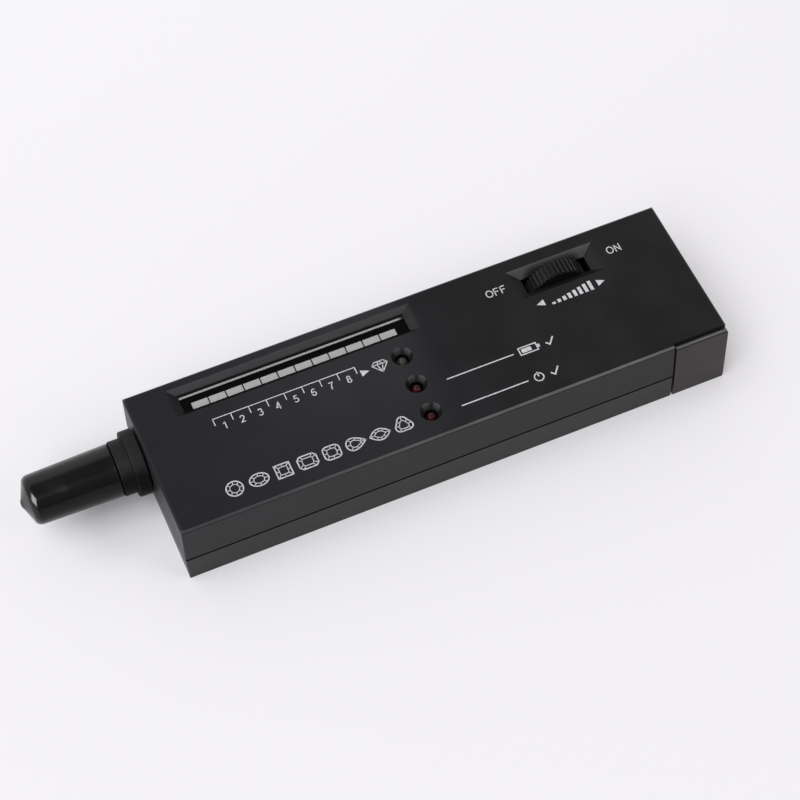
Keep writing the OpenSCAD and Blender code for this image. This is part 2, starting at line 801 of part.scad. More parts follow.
module control_shaft() {
    shaft_l = wheel_w - wheel_recess - fix_gap + control_near - wheel_far + shaft_depth;
    color(steel) across(wheel_x, wheel_near + wheel_recess + fix_gap, wheel_z) difference() {
        cylinder(d = shaft_d, h = shaft_l);
        translate([0, 0, -cut]) cylinder(d = wheel_screw_d + fix_gap, h = wheel_screw_l + screw_slot_d + cut);
    }
}

module wheel_screw() {
    head_t = wheel_screw_head_t;
    color(steel) across(wheel_x, wheel_near + wheel_recess - head_t, wheel_z) difference() {
        union() {
            cylinder(d = shaft_d + 2 * wheel_screw_head_w, h = head_t);
            cylinder(d = wheel_screw_d, h = head_t + wheel_screw_l);
        }
        translate([-shaft_d, -screw_slot_w / 2, -cut]) cube([2 * shaft_d, screw_slot_w, cut + screw_slot_d]);
    }
}

// Square control that stands on the board's rear strip and carries the wheel's shaft
module volume_control() {
    color([0.25, 0.27, 0.3]) difference() {
        from_front() translate([wheel_x - control_size / 2, control_near, board_top])
            cube([control_size, control_t, wheel_z + control_size / 2 - board_top]);
        across(wheel_x, control_near - cut, wheel_z) cylinder(d = shaft_d + 2 * run_gap, h = shaft_depth + fix_gap + cut);
    }
}

// A chip on two rows of legs, lying along the case
module chip(y, pins) {
    l = pins * chip_pitch;
    leg_y = chip_half + chip_leg_t / 3;
    from_front() translate([board_x0 + chip_in, y, board_top]) {
        translate([-l / 2, -chip_half, chip_lift]) cube([l, 2 * chip_half, chip_t]);
        for (i = [0 : pins - 1], s = [-1, 1])
            translate([(i + 1 / 2) * chip_pitch - l / 2 - lamp_leg / 2, s * leg_y - chip_leg_t / 2, 0])
                cube([lamp_leg, chip_leg_t, chip_lift + chip_t / 2]);
    }
}

module driver_chips() {
    pins = 9;
    color(part_black) for (i = [0, 1]) chip(driver_y - i * driver_pitch, pins);
}

module amplifier_chip() {
    pins = 7;
    color(part_black) chip(amplifier_in - board_y, pins);
}

module trimmers() {
    size = trimmer_size;
    turn_top = trimmer_h + trimmer_disc_h;
    color([0.2, 0.3, 0.55]) from_front() for (i = [0, 1])
        translate([board_x0 + trimmer_in, trimmer_y - i * trimmer_pitch, board_top]) difference() {
            union() {
                translate([-size / 2, -size / 2, 0]) cube([size, size, trimmer_h]);
                cylinder(d = trimmer_disc_d, h = turn_top);
            }
            translate([-size / 2, -trimmer_slot_w / 2, turn_top - trimmer_slot_d])
                cube([size, trimmer_slot_w, trimmer_slot_d + cut]);
        }
}

module capacitors() {
    color([0.2, 0.22, 0.3]) from_front() for (i = [0, 1])
        translate([board_x0 + capacitor_in, trimmer_y - i * trimmer_pitch, board_top]) difference() {
            cylinder(d = capacitor_d, h = capacitor_h);
            translate([0, 0, capacitor_h - capacitor_dent])
                cylinder(d = capacitor_d - 2 * capacitor_rim, h = capacitor_dent + cut);
        }
}

module resistors() {
    lead = resistor_lead;
    span = resistor_span;
    y = resistor_side_in - board_y;
    body_z = board_top + resistor_lift + resistor_d / 2;
    color([0.75, 0.68, 0.5]) for (i = [0 : 2]) {
        x = board_x0 + resistor_in + i * resistor_pitch;
        across(x, y - resistor_l / 2, body_z) cylinder(d = resistor_d, h = resistor_l);
        from_front() translate([x - lead / 2, y - span / 2, body_z - lead / 2]) cube([lead, span, lead]);
        for (s = [-1, 1]) from_front() translate([x - lead / 2, y + s * (span - lead) / 2 - lead / 2, board_top])
            cube([lead, lead, body_z - board_top]);
    }
}

module buzzer() {
    color(part_black) from_front()
        translate([board_x0 + buzzer_in, buzzer_side_in - board_y, board_top]) difference() {
            cylinder(d = buzzer_d, h = buzzer_h);
            translate([0, 0, buzzer_h - buzzer_hole_l]) cylinder(d = buzzer_hole_d, h = buzzer_hole_l + cut);
        }
}

// Battery, snap and wires

module battery() {
    can_l = battery_l - terminal_h;
    color([0.5, 0.5, 0.52]) from_front() {
        translate([battery_front + terminal_h, battery_mid_y, battery_mid_z]) rotate([90, 0, 90])
            linear_extrude(can_l) translate([-battery_w / 2, 0]) rounded_plan(battery_w, battery_h, can_r);
        translate([battery_front, battery_mid_y, battery_mid_z]) {
            translate([0, -terminal_gap_y / 2, 0]) rotate([0, 90, 0]) cylinder(d = stud_d, h = terminal_h + cut);
            translate([0, terminal_gap_y / 2, 0]) rotate([0, 90, 0]) socket_ring(terminal_h + cut);
        }
    }
}

// Round socket, open at its start, that the other side's stud goes into
module socket_ring(h) {
    difference() {
        cylinder(d = socket_d, h = h);
        translate([0, 0, -cut]) cylinder(d = stud_d + 2 * fix_gap, h = h - socket_floor);
    }
}

module battery_snap() {
    reach = terminal_h - 2 * fix_gap;
    color(part_black) from_front() translate([snap_x, battery_mid_y, battery_mid_z]) {
        translate([0, -snap_w / 2, -snap_h / 2]) cube([snap_t, snap_w, snap_h]);
        translate([snap_t - cut, terminal_gap_y / 2, 0]) rotate([0, 90, 0])
            cylinder(d = stud_d, h = reach - socket_floor - 2 * fix_gap + cut);
        translate([snap_t, -terminal_gap_y / 2, 0]) rotate([0, 90, 0]) difference() {
            translate([0, 0, -cut]) cylinder(d = socket_d, h = reach + cut);
            cylinder(d = stud_d + 2 * fix_gap, h = reach + cut);
        }
    }
}

module snap_wire(side) {
    y = battery_mid_y + side * snap_wire_gap / 2;
    a = [snap_x, y, battery_mid_z];
    b = [board_x1 - snap_pad_in, y, board_top];
    route = wire_route(a, [-1, 0, 0], b, [0, 0, 1], wire_d, snap_wire_reach, wire_steps);
    from_front() tube(route, wire_d, [0, 1, 0], wire_fn);
}

module snap_wire_red() {
    color([0.7, 0.1, 0.1]) snap_wire(1);
}

module snap_wire_black() {
    color(part_black) snap_wire(-1);
}

module probe_wires() {
    color([0.8, 0.75, 0.3]) from_front() for (i = [-1 : 1]) {
        a = [-plug_back, probe_y + i * probe_wire_gap, probe_z];
        b = [board_x0 + probe_pad_in, probe_y - probe_pad_y + i * probe_pad_gap, board_top];
        route = wire_route(a, [1, 0, 0], b, [0, 0, 1], wire_d, probe_wire_reach, wire_steps);
        tube(route, wire_d, [0, 1, 0], wire_fn);
    }
}

// Fasteners

module case_screws() {
    color(steel) from_front() for (p = post_spots) translate([p.x, p.y, screw_seat_z - screw_head_h]) difference() {
        union() {
            cylinder(d = screw_head_d, h = screw_head_h);
            cylinder(d = screw_d, h = screw_end_z - screw_seat_z + screw_head_h);
        }
        cross_recess(screw_head_d);
    }
}

module board_screws() {
    color(steel) from_front() for (p = board_spots) translate([p.x, p.y, board_top]) difference() {
        union() {
            cylinder(d = board_head_d, h = board_head_h);
            translate([0, 0, -board_t - board_screw_l])
                cylinder(d = board_screw_d, h = board_t + board_screw_l + cut);
        }
        translate([0, 0, board_head_h]) mirror([0, 0, 1]) cross_recess(board_head_d);
    }
}

// Cross-shaped recess sunk from a screw head's face
module cross_recess(head_d) {
    w = head_d / 6;
    l = head_d * 0.6;
    depth = head_d / 5;
    for (a = [0, 90]) rotate(a) translate([-l / 2, -w / 2, -cut]) cube([l, w, depth + cut]);
}

top_case();
bottom_case();
battery_cover();
nose_collar();
probe_barrel();
probe_plug();
probe_tip();
tip_heater();
probe_spring();
probe_cap();
circuit_board();
lamp_tray();
lamp_mask();
scale_lamps();
result_lamp();
battery_lamp();
ready_lamp();
lamp_spacers();
volume_wheel();
control_shaft();
wheel_screw();
volume_control();
driver_chips();
amplifier_chip();
trimmers();
capacitors();
resistors();
buzzer();
battery();
battery_snap();
snap_wire_red();
snap_wire_black();
probe_wires();
case_screws();
board_screws();
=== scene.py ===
import math
from functools import cache

import bmesh
import bpy
from mathutils import Matrix, Vector


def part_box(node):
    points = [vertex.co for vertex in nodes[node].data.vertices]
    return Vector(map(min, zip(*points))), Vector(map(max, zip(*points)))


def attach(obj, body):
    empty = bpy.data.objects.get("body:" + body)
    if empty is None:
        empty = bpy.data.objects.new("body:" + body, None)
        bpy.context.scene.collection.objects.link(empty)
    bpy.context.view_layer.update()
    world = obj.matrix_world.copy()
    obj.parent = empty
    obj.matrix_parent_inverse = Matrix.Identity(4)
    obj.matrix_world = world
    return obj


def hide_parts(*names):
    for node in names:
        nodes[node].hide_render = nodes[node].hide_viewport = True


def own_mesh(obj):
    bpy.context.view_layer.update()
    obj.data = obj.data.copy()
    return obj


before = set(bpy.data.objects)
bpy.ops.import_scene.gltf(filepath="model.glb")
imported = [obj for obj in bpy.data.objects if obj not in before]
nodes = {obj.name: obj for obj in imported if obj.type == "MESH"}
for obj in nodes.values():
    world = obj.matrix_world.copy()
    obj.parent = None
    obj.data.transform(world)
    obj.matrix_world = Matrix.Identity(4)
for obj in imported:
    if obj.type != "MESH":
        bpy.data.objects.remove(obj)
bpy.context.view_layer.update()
print("solids loaded:", len(nodes))

mm = 0.001
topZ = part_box("top_case")[1].z
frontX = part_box("top_case")[0].x
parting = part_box("bottom_case")[1].z


class Sock:
    # one output of a node; arithmetic on it adds Math nodes
    def __init__(self, tree, out=None):
        self.tree = tree
        self.out = out

    def node(self, kind, settings=None, values=None, out=0):
        made = self.tree.nodes.new(kind)
        for name, value in (settings or {}).items():
            setattr(made, name, value)
        for name, value in (values or {}).items():
            self.put(made.inputs[name], value)
        return Sock(self.tree, made.outputs[out] if len(made.outputs) else None)

    def put(self, socket, value):
        if isinstance(value, Sock):
            self.tree.links.new(value.out, socket)
        elif socket.type == "RGBA" and len(value) == 3:
            socket.default_value = (*value, 1.0)
        else:
            socket.default_value = value

    def maths(self, operation, first, second=0.0):
        return self.node("ShaderNodeMath", {"operation": operation}, {0: first, 1: second})

    def __add__(self, other):
        return self.maths("ADD", self, other)

    def __radd__(self, other):
        return self.maths("ADD", other, self)

    def __sub__(self, other):
        return self.maths("SUBTRACT", self, other)

    def __rsub__(self, other):
        return self.maths("SUBTRACT", other, self)

    def __mul__(self, other):
        return self.maths("MULTIPLY", self, other)

    def __rmul__(self, other):
        return self.maths("MULTIPLY", other, self)


# Small words of the shader maths

def newFinish(name):
    material = bpy.data.materials.new(name)
    material.use_nodes = True
    material.node_tree.nodes.clear()
    s = Sock(material.node_tree)
    place = s.node("ShaderNodeTexCoord", {}, {}, "Object")
    return material, s, place


def closeFinish(s, values, dull=None, under=None):
    skin = s.node("ShaderNodeBsdfPrincipled", {}, values)
    if dull:  # the dull share shows a shineless colour instead, used for painted shade
        plain = s.node("ShaderNodeBsdfDiffuse", {}, {"Color": under})
        skin = s.node("ShaderNodeMixShader", {}, {0: dull, 1: skin, 2: plain})
    s.node("ShaderNodeOutputMaterial", {}, {"Surface": skin})


def facing(s):
    return s.node("ShaderNodeNewGeometry", {}, {}, "Normal")


def along(s, vector, axis):
    return s.node("ShaderNodeSeparateXYZ", {}, {"Vector": vector}, axis)


def grain(s, place, size, detail=2.0):
    return s.node("ShaderNodeTexNoise", {}, {"Vector": place, "Scale": 1 / size, "Detail": detail}, "Fac")


def ramp(s, value, low, high):
    return s.node("ShaderNodeMapRange", {"interpolation_type": "SMOOTHSTEP"},
                  {"Value": value, "From Min": low, "From Max": high, "To Min": 0.0, "To Max": 1.0}, "Result")


def band(s, value, limits):
    # grows over the first pair of numbers and fades over the second
    grow, fade = limits
    return ramp(s, value, *grow) * (1.0 - ramp(s, value, *fade))


def between(share, pair):
    # goes from the first of a pair to the second as the share grows
    first, second = pair
    return first + share * (second - first)


def mixed(s, share, first, second):
    return s.node("ShaderNodeMix", {"data_type": "RGBA"}, {0: share, 6: first, 7: second}, 2)


def stretched(s, place, scale):
    return s.node("ShaderNodeVectorMath", {"operation": "MULTIPLY"}, {0: place, 1: scale})


def bumped(s, height, depth):
    return s.node("ShaderNodeBump", {}, {"Height": height, "Distance": depth, "Strength": 1.0}, "Normal")


def pastEnds(s, x, node, spare, reach):
    # grows past both ends of the opening over a node, which is longer by the spare at each end
    low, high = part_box(node)
    fromMiddle = s.maths("ABSOLUTE", x - (low.x + high.x) / 2)
    return ramp(s, fromMiddle - ((high.x - low.x) / 2 + spare), *reach)


def wheelReach(s, place):
    # distance from the wheel's rim, seen along its shaft
    low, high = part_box("volume_wheel")
    middle = (low + high) / 2
    away = s.node("ShaderNodeVectorMath", {"operation": "DISTANCE"},
                  {0: stretched(s, place, (1.0, 0.0, 1.0)), 1: (middle.x, 0.0, middle.z)}, "Value")
    return away - (high.x - low.x) / 2


edgeStrip = (21.5 * mm, 21.8 * mm)  # from the middle of the case to both long sides


def outerStrip(s, place):
    return ramp(s, s.maths("ABSOLUTE", along(s, place, "Y")), *edgeStrip)


# Moulded black of the case, with dust, wear, and painted light and shade over it in places

mouldedBlack = {
    "dark": (0.0125, 0.0125, 0.0136),
    "light": (0.0185, 0.0185, 0.02),
    "gloss": 0.26,
    "rough": 0.4,
    "roughSwing": 0.1,  # between its clouds
    "fineSwing": 0.08,  # between its grains
    "cloudSize": 14 * mm,
    "grainSize": 0.22 * mm, "grainDepth": 0.010 * mm,
    "scuffSize": 0.6 * mm, "scuffWay": (1.0, 0.08, 1.0), "scuffShine": 0.07,
    "dust": (0.12, 0.12, 0.125), "dustCell": 9 * mm, "dustSize": 0.012, "dustShare": 0.8,
}
topPaintedLight = {
    "paintedBlueReflection": (0.0165, 0.017, 0.0206),  # painted reflection, bluish, stronger towards the front
    "blueReflectionAlong": (-40 * mm, 50 * mm), "blueReflectionShare": 0.7,
    "paintedSheen": (0.03, 0.0305, 0.0335),  # painted sheen about the lamps
    "sheenAlong": ((-60 * mm, 10 * mm), (10 * mm, 24 * mm)),
    "sheenAcross": (-18 * mm, 6 * mm), "sheenNear": 0.55,
    "side": (0.029, 0.0268, 0.0275),  # painted light: upright faces lighter and warmer than the top
    "uprightLightShare": 0.6,
}


def layHaze(s, look, place, cloud, black):
    # painted light: a bluish reflection towards the front, a sheen about the lamps on the top face, and
    # lighter, warmer upright faces
    x, y = (along(s, place, axis) for axis in "XY")
    slope = along(s, facing(s), "Z")
    black = mixed(s, (1.0 - ramp(s, x, *look["blueReflectionAlong"])) * look["blueReflectionShare"], black, look["paintedBlueReflection"])
    sheenMask = band(s, x, look["sheenAlong"]) * ramp(s, slope, 0.8, 0.95)
    sheenMask = sheenMask * between(ramp(s, y, *look["sheenAcross"]), (look["sheenNear"], 1.0))
    black = mixed(s, sheenMask * between(cloud, (0.4, 1.0)), black, look["paintedSheen"])
    return mixed(s, (1.0 - ramp(s, slope, 0.1, 0.3)) * look["uprightLightShare"], black, look["side"])


# painted light and shade for the walls of the openings in the top face
paintedOpeningLight = {
    "paintedLitWall": (0.11, 0.102, 0.105),  # painted light on the far and rear walls
    "paintedShadeWall": (0.011, 0.011, 0.0115),  # painted shade on the near walls, without shine
    "wallSlopes": ((0.3, 0.45), (0.9, 0.97)),  # how far up a wall faces
    "wallsAlong": ((-55 * mm, -54 * mm), (84 * mm, 85 * mm)),
    "wallDepth": 2 * mm,
    "turned": (0.3, 0.55),  # how far a wall has to face one way to count
    "turnedNear": (0.2, 0.5),
    "slotFrom": (30 * mm, 45 * mm),  # the display ends and the wheel's slot starts
    "farPale": (0.44, 0.47),  # share of painted light at the display and at the slot
    "lipPale": (0.08, 0.32),  # painted highlight that the lip adds to it
    "rearPale": (0.26, 0.11),
    "rearLip": 0.65,  # what the rear walls lose at the lip
    # streaks along the painted light
    "streakSize": 0.5 * mm, "streakWay": (0.15, 1.0, 1.0), "streakPale": (0.7, 1.3),
    "cloudPale": (0.8, 1.2),
    "footDark": (0.1, 0.3),  # painted shade at the foot of a wall, less so in the slot
    "slotFoot": 0.3,
    "wheelShade": (-0.6 * mm, 1.8 * mm),  # painted shadow of the wheel, past its rim
    "wheelDeep": 1.15,
    "wellsTo": (8 * mm, 9 * mm),  # the round lamps' wells lie on the near side of this
    "wellTurn": (0.41, 0.91),  # way from a well's middle to its wall with painted light
    # painted reflection streaks on the wells' walls
    "wellStreak": (0.05, 0.34),
    "wellPale": (0.12, 0.78),  # painted light in the middle of that wall and beside it
    "displaySpare": -0.8 * mm,
    "slotSpare": 0.2 * mm,
    "cornerReach": (-0.5 * mm, 1.0 * mm),
    "cornerShine": 0.8,  # how much of the near walls' painted shade is left off in their corners, where they keep their shine
    "dullShare": (0.25, 0.95),  # share of painted shade on the other walls, and on the near ones
    "dullFoot": 0.9,
}


def shadeOpenings(s, look, place, cloud, black):
    # painted light and shade: far and rear walls are painted pale, the others painted dull and dark, all get
    # a painted shadow behind the wheel, and the wells get painted reflection streaks
    x, y, height = (along(s, place, axis) for axis in "XYZ")
    normal = facing(s)
    acrossX, acrossY, slope = (along(s, normal, axis) for axis in "XYZ")
    wall = band(s, slope, look["wallSlopes"]) * band(s, x, look["wallsAlong"]) * (1.0 - outerStrip(s, place))
    rise = (height - (topZ - look["wallDepth"])) * (1 / look["wallDepth"])
    slot = ramp(s, x, *look["slotFrom"])
    well = 1.0 - ramp(s, y, *look["wellsTo"])
    wayX, wayY = look["wellTurn"]
    straight = ramp(s, 0.0 - acrossY, *look["turned"])
    aslant = ramp(s, 0.0 - (acrossX * wayX + acrossY * wayY), *look["turned"])
    far = between(well, (straight, aslant))

    shade = 1.0 - ramp(s, wheelReach(s, place), *look["wheelShade"])
    foot = ramp(s, rise + slot * look["slotFoot"], *look["footDark"])
    lit = s.maths("MINIMUM", foot, 1.0 - shade * (1.0 - rise) * look["wheelDeep"])
    lit = s.maths("MAXIMUM", lit, well)
    streaked = grain(s, stretched(s, place, look["streakWay"]), look["streakSize"])
    flat = between(slot, look["farPale"]) + rise * rise * rise * between(slot, look["lipPale"])
    flat = flat * lit * between(streaked, look["streakPale"])
    streak = ramp(s, s.maths("ABSOLUTE", acrossX * wayY - acrossY * wayX), *look["wellStreak"])
    pale = between(well, (flat, rise * between(streak, look["wellPale"])))
    rear = ramp(s, 0.0 - acrossX, *look["turned"]) * (1.0 - well) * between(slot, look["rearPale"])
    rear = rear * (1.0 - ramp(s, rise, 0.55, 1.0) * look["rearLip"])
    share = wall * (far * pale + rear) * between(cloud, look["cloudPale"])

    atDisplay = pastEnds(s, x, "lamp_tray", look["displaySpare"], look["cornerReach"])
    atSlot = pastEnds(s, x, "volume_wheel", look["slotSpare"], look["cornerReach"])
    corner = between(slot, (atDisplay, atSlot)) * (1.0 - well)
    near = ramp(s, acrossY, *look["turnedNear"]) * (1.0 - corner * look["cornerShine"])
    dull = (1.0 - far) * between(near, look["dullShare"]) + far * (1.0 - lit) * look["dullFoot"]
    return mixed(s, share, black, look["paintedLitWall"]), wall * dull


# edge wear and a painted highlight on the rounded top edges
edgeWearAndHighlight = {
    "worn": (0.13, 0.13, 0.13), "wearLightSlopes": ((0.3, 0.6), (0.86, 0.97)),
    "wearLightAlong": (-60 * mm, 80 * mm),  # painted highlight, most towards the rear
    "wearLightLeast": 0.35, "wearLightPatchy": (0.6, 1.3),
}


def wearEdges(s, look, place, cloud, black):
    x, height = (along(s, place, axis) for axis in "XZ")
    edge = band(s, along(s, facing(s), "Z"), look["wearLightSlopes"]) * outerStrip(s, place)
    edge = edge * ramp(s, height, look["wearLightAbove"], look["wearLightAbove"] + 0.2 * mm)
    rear = between(ramp(s, x, *look["wearLightAlong"]), (look["wearLightLeast"], 1.0))
    return mixed(s, edge * rear * between(cloud, look["wearLightPatchy"]), black, look["worn"])


def mouldedFinish(name, look):
    material, s, place = newFinish(name)
    cloud = grain(s, place, look["cloudSize"], 3.0)
    fine = grain(s, place, look["grainSize"])
    rubbed = grain(s, stretched(s, place, look["scuffWay"]), look["scuffSize"])
    scuff = ramp(s, rubbed, 0.62, 0.74) * ramp(s, cloud, 0.45, 0.65)
    cell = s.node("ShaderNodeTexVoronoi", {}, {"Vector": place, "Scale": 1 / look["dustCell"]}, "Distance")
    dust = 1.0 - ramp(s, cell, look["dustSize"] * 0.5, look["dustSize"])
    black = mixed(s, ramp(s, cloud, 0.3, 0.7), look["dark"], look["light"])
    dull = None
    # painted reflection, sheen and lighter upright faces on the top shell
    if "paintedSheen" in look:
        black = layHaze(s, look, place, cloud, black)
    # painted light and shade on the walls of the openings
    if "paintedLitWall" in look:
        black, dull = shadeOpenings(s, look, place, cloud, black)
    # edge wear and a painted highlight along the top edges
    if "wearLightAbove" in look:
        black = wearEdges(s, look, place, cloud, black)
    if "dustAndTopLight" in look:  # dust, and painted light that makes what faces up lighter
        upward = ramp(s, along(s, facing(s), "Z"), 0.35, 1.0)
        black = mixed(s, upward * between(cloud, (0.4, 1.0)), black, look["dustAndTopLight"])
    if "paintedSlitShade" in look:  # painted shade in the groove along the parting line
        black = mixed(s, band(s, along(s, place, "Z"), look["slitShadeAt"]), black, look["paintedSlitShade"])
    rough = look["rough"] + (cloud - 0.5) * look["roughSwing"] + (fine - 0.5) * look["fineSwing"]
    closeFinish(s, {
        "Base Color": mixed(s, dust * look["dustShare"], black, look["dust"]),
        "Roughness": rough - scuff * look["scuffShine"],
        "Specular IOR Level": look["gloss"],
        "Normal": bumped(s, fine, look["grainDepth"]),
    }, dull, look.get("paintedShadeWall"))
    return material


# Finishes of the other outer pieces

glossBlack = {
    "dark": (0.0062, 0.006, 0.0063),
    "light": (0.0088, 0.0085, 0.0089),
    "gloss": 0.36,
    "rough": 0.14,
    "smear": 0.09, "smearSize": 7 * mm,
    "fineSize": 0.5 * mm, "fineSwing": 0.04,
    "waveSize": 2.4 * mm, "waveWay": (0.35, 1.0, 1.0), "waveDepth": 0.012 * mm,
    "paintedFlankShade": 0.62,  # painted shade: how much of the flanks' reflection is left out, so they show darker
    "flank": ((-0.5, 0.5), (0.52, 0.64)),  # how far up they face
    "roundEnd": (-0.45, -0.1),  # how far forwards the end faces, which keeps its reflection
}


def capFinish(look):
    material, s, place = newFinish("cap_gloss_black")
    smear = grain(s, place, look["smearSize"], 4.0)
    wave = grain(s, stretched(s, place, look["waveWay"]), look["waveSize"], 1.0)
    fine = grain(s, place, look["fineSize"])
    normal = facing(s)
    # painted shade: the flanks are drawn partly without reflection
    flank = band(s, along(s, normal, "Z"), look["flank"]) * ramp(s, along(s, normal, "X"), *look["roundEnd"])
    smudge = ramp(s, smear, 0.5, 0.75) * look["smear"]
    closeFinish(s, {
        "Base Color": mixed(s, ramp(s, smear, 0.3, 0.7), look["dark"], look["light"]),
        "Roughness": look["rough"] + smudge + (fine - 0.5) * look["fineSwing"],
        "Specular IOR Level": look["gloss"],
        "Normal": bumped(s, wave, look["waveDepth"]),
    }, flank * look["paintedFlankShade"], look["dark"])
    return material


gripBlack = {
    "hollow": (0.004, 0.004, 0.0043),
    "crest": (0.012, 0.012, 0.0124),
    "crestFrom": (-0.5 * mm, -0.05 * mm),  # below the rim
    "gloss": 0.28,
    "rough": 0.42,
    "worn": 0.14,
    "fineSize": 0.3 * mm, "fineDepth": 0.012 * mm, "fineSwing": 0.1,
}


def wheelFinish(look):
    material, s, place = newFinish("wheel_grip_black")
    crest = ramp(s, wheelReach(s, place), *look["crestFrom"])
    fine = grain(s, place, look["fineSize"], 3.0)
    closeFinish(s, {
        "Base Color": mixed(s, crest * between(fine, (0.6, 1.0)), look["hollow"], look["crest"]),
        "Roughness": look["rough"] - crest * look["worn"] + (fine - 0.5) * look["fineSwing"],
        "Specular IOR Level": look["gloss"],
        "Normal": bumped(s, fine, look["fineDepth"]),
    })
    return material


maskBlack = {
    "dark": (0.0015, 0.0015, 0.0015),
    "light": (0.0035, 0.0035, 0.0035),
    "gloss": 0.06,
    "rough": (0.55, 0.75),
    "fineSize": 0.25 * mm, "fineDepth": 0.02 * mm,
}


def maskFinish(look):
    material, s, place = newFinish("mask_dead_black")
    fine = grain(s, place, look["fineSize"], 3.0)
    closeFinish(s, {
        "Base Color": mixed(s, fine, look["dark"], look["light"]),
        "Roughness": between(fine, look["rough"]),
        "Specular IOR Level": look["gloss"],
        "Normal": bumped(s, fine, look["fineDepth"]),
    })
    return material


wireLeg = (0.62, 0.61, 0.58)  # bare legs of all lamps
lampBar = {
    "face": (0.395, 0.4, 0.395),
    "rim": (0.28, 0.285, 0.28),
    "side": (0.02, 0.02, 0.02),
    "count": 12,
    "gap": 0.28 * mm,
    "faceShare": 0.94,  # of a lamp and its gap
    "rimShare": 0.05,
    "faceDepth": (0.1 * mm, 0.04 * mm),
    "legTop": (7.07 * mm, 7.05 * mm),
    "rough": 0.42,
    "legShine": 0.1,
    "cloudSize": 1.1 * mm,
    "fineSize": 0.18 * mm, "fineDepth": 0.008 * mm, "fineSwing": 0.2,
}


def belowTop(s, place, node, depths):
    # grows upwards between two depths below the top of a node
    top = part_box(node)[1].z
    lower, upper = depths
    return ramp(s, along(s, place, "Z"), top - lower, top - upper)


def scaleLampFinish(look):
    material, s, place = newFinish("scale_lamp_milky")
    low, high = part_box("scale_lamps")
    pitch = (high.x - low.x + look["gap"]) / look["count"]
    inCell = s.maths("FRACT", (along(s, place, "X") - low.x) * (1 / pitch))
    full, share = look["faceShare"], look["rimShare"]
    inner = band(s, inCell, ((0.0, share), (full - share, full)))
    cloud = grain(s, place, look["cloudSize"], 3.0)
    fine = grain(s, place, look["fineSize"])
    leg = 1.0 - belowTop(s, place, "scale_lamps", look["legTop"])
    face = mixed(s, inner * between(cloud, (0.75, 1.15)), look["rim"], look["face"])
    milk = mixed(s, belowTop(s, place, "scale_lamps", look["faceDepth"]), look["side"], face)
    closeFinish(s, {
        "Base Color": mixed(s, leg, milk, wireLeg),
        "Metallic": leg,
        "Roughness": look["rough"] + (fine - 0.5) * look["fineSwing"] - leg * look["legShine"],
        "Normal": bumped(s, fine, look["fineDepth"]),
    })
    return material


trayEdge = {
    "pale": (0.4, 0.4, 0.385),
    "shade": (0.3, 0.3, 0.29),
    "dark": (0.012, 0.012, 0.012),
    "strip": ((0.09 * mm, 0.19 * mm), (0.73 * mm, 0.83 * mm)),  # bare strip, from the tray's far face
    "stripDepth": (0.09 * mm, 0.03 * mm),
    "fade": (2.6 * mm, 1.0 * mm),  # where the strip fades, from the tray's rear face
    "rough": 0.5,
    "cloudSize": 3 * mm,
    "fineSize": 0.2 * mm, "fineDepth": 0.008 * mm, "fineSwing": 0.16,
}


def trayFinish(look):
    # the tray is drawn black where it faces the lamps, with a pale strip along its far edge
    material, s, place = newFinish("tray_far_edge")
    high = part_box("lamp_tray")[1]
    strip = band(s, high.y - along(s, place, "Y"), look["strip"])
    strip = strip * belowTop(s, place, "lamp_tray", look["stripDepth"])
    fadeFrom, fadeTo = look["fade"]
    strip = strip * (1.0 - ramp(s, along(s, place, "X"), high.x - fadeFrom, high.x - fadeTo))
    cloud = grain(s, place, look["cloudSize"], 3.0)
    fine = grain(s, place, look["fineSize"])
    closeFinish(s, {
        "Base Color": mixed(s, strip, look["dark"], mixed(s, cloud, look["shade"], look["pale"])),
        "Roughness": look["rough"] + (fine - 0.5) * look["fineSwing"],
        "Normal": bumped(s, fine, look["fineDepth"]),
    })
    return material


clearDome = {
    "tintDepth": (3 * mm, 0.0),
    "legTop": (5.35 * mm, 5.3 * mm),
    "gloss": 0.4,
    "rough": (0.17, 0.25),
    "legRough": 0.1,
    "clear": 0.92,
    "bend": 1.53,
    "cloudSize": 0.8 * mm,
}


def domeFinish(name, node, core, rim, look):
    # clear tinted plastic above the flange, plain wire legs below it
    material, s, place = newFinish(name)
    tint = belowTop(s, place, node, look["tintDepth"])
    leg = 1.0 - belowTop(s, place, node, look["legTop"])
    cloud = grain(s, place, look["cloudSize"], 3.0)
    closeFinish(s, {
        "Base Color": mixed(s, leg, mixed(s, tint * between(cloud, (0.8, 1.2)), rim, core), wireLeg),
        "Metallic": leg,
        "Roughness": between(cloud, look["rough"]) + leg * look["legRough"],
        "Specular IOR Level": look["gloss"],
        "Transmission Weight": look["clear"],
        "IOR": look["bend"],
    })
    return material


inkWhite = {
    "full": (0.66, 0.66, 0.67),
    "thin": (0.46, 0.46, 0.48),
    "rough": 0.5,
    "patchSize": 0.9 * mm,
    "fineSize": 0.12 * mm, "fineDepth": 0.006 * mm, "fineSwing": 0.2,
}


def inkFinish(look):
    material, s, place = newFinish("print_white_ink")
    patch = grain(s, place, look["patchSize"], 4.0)
    fine = grain(s, place, look["fineSize"])
    closeFinish(s, {
        "Base Color": mixed(s, ramp(s, patch * 0.7 + fine * 0.3, 0.35, 0.6), look["thin"], look["full"]),
        "Roughness": look["rough"] + (fine - 0.5) * look["fineSwing"],
        "Normal": bumped(s, fine, look["fineDepth"]),
    })
    return material


# Finishes of the inner pieces

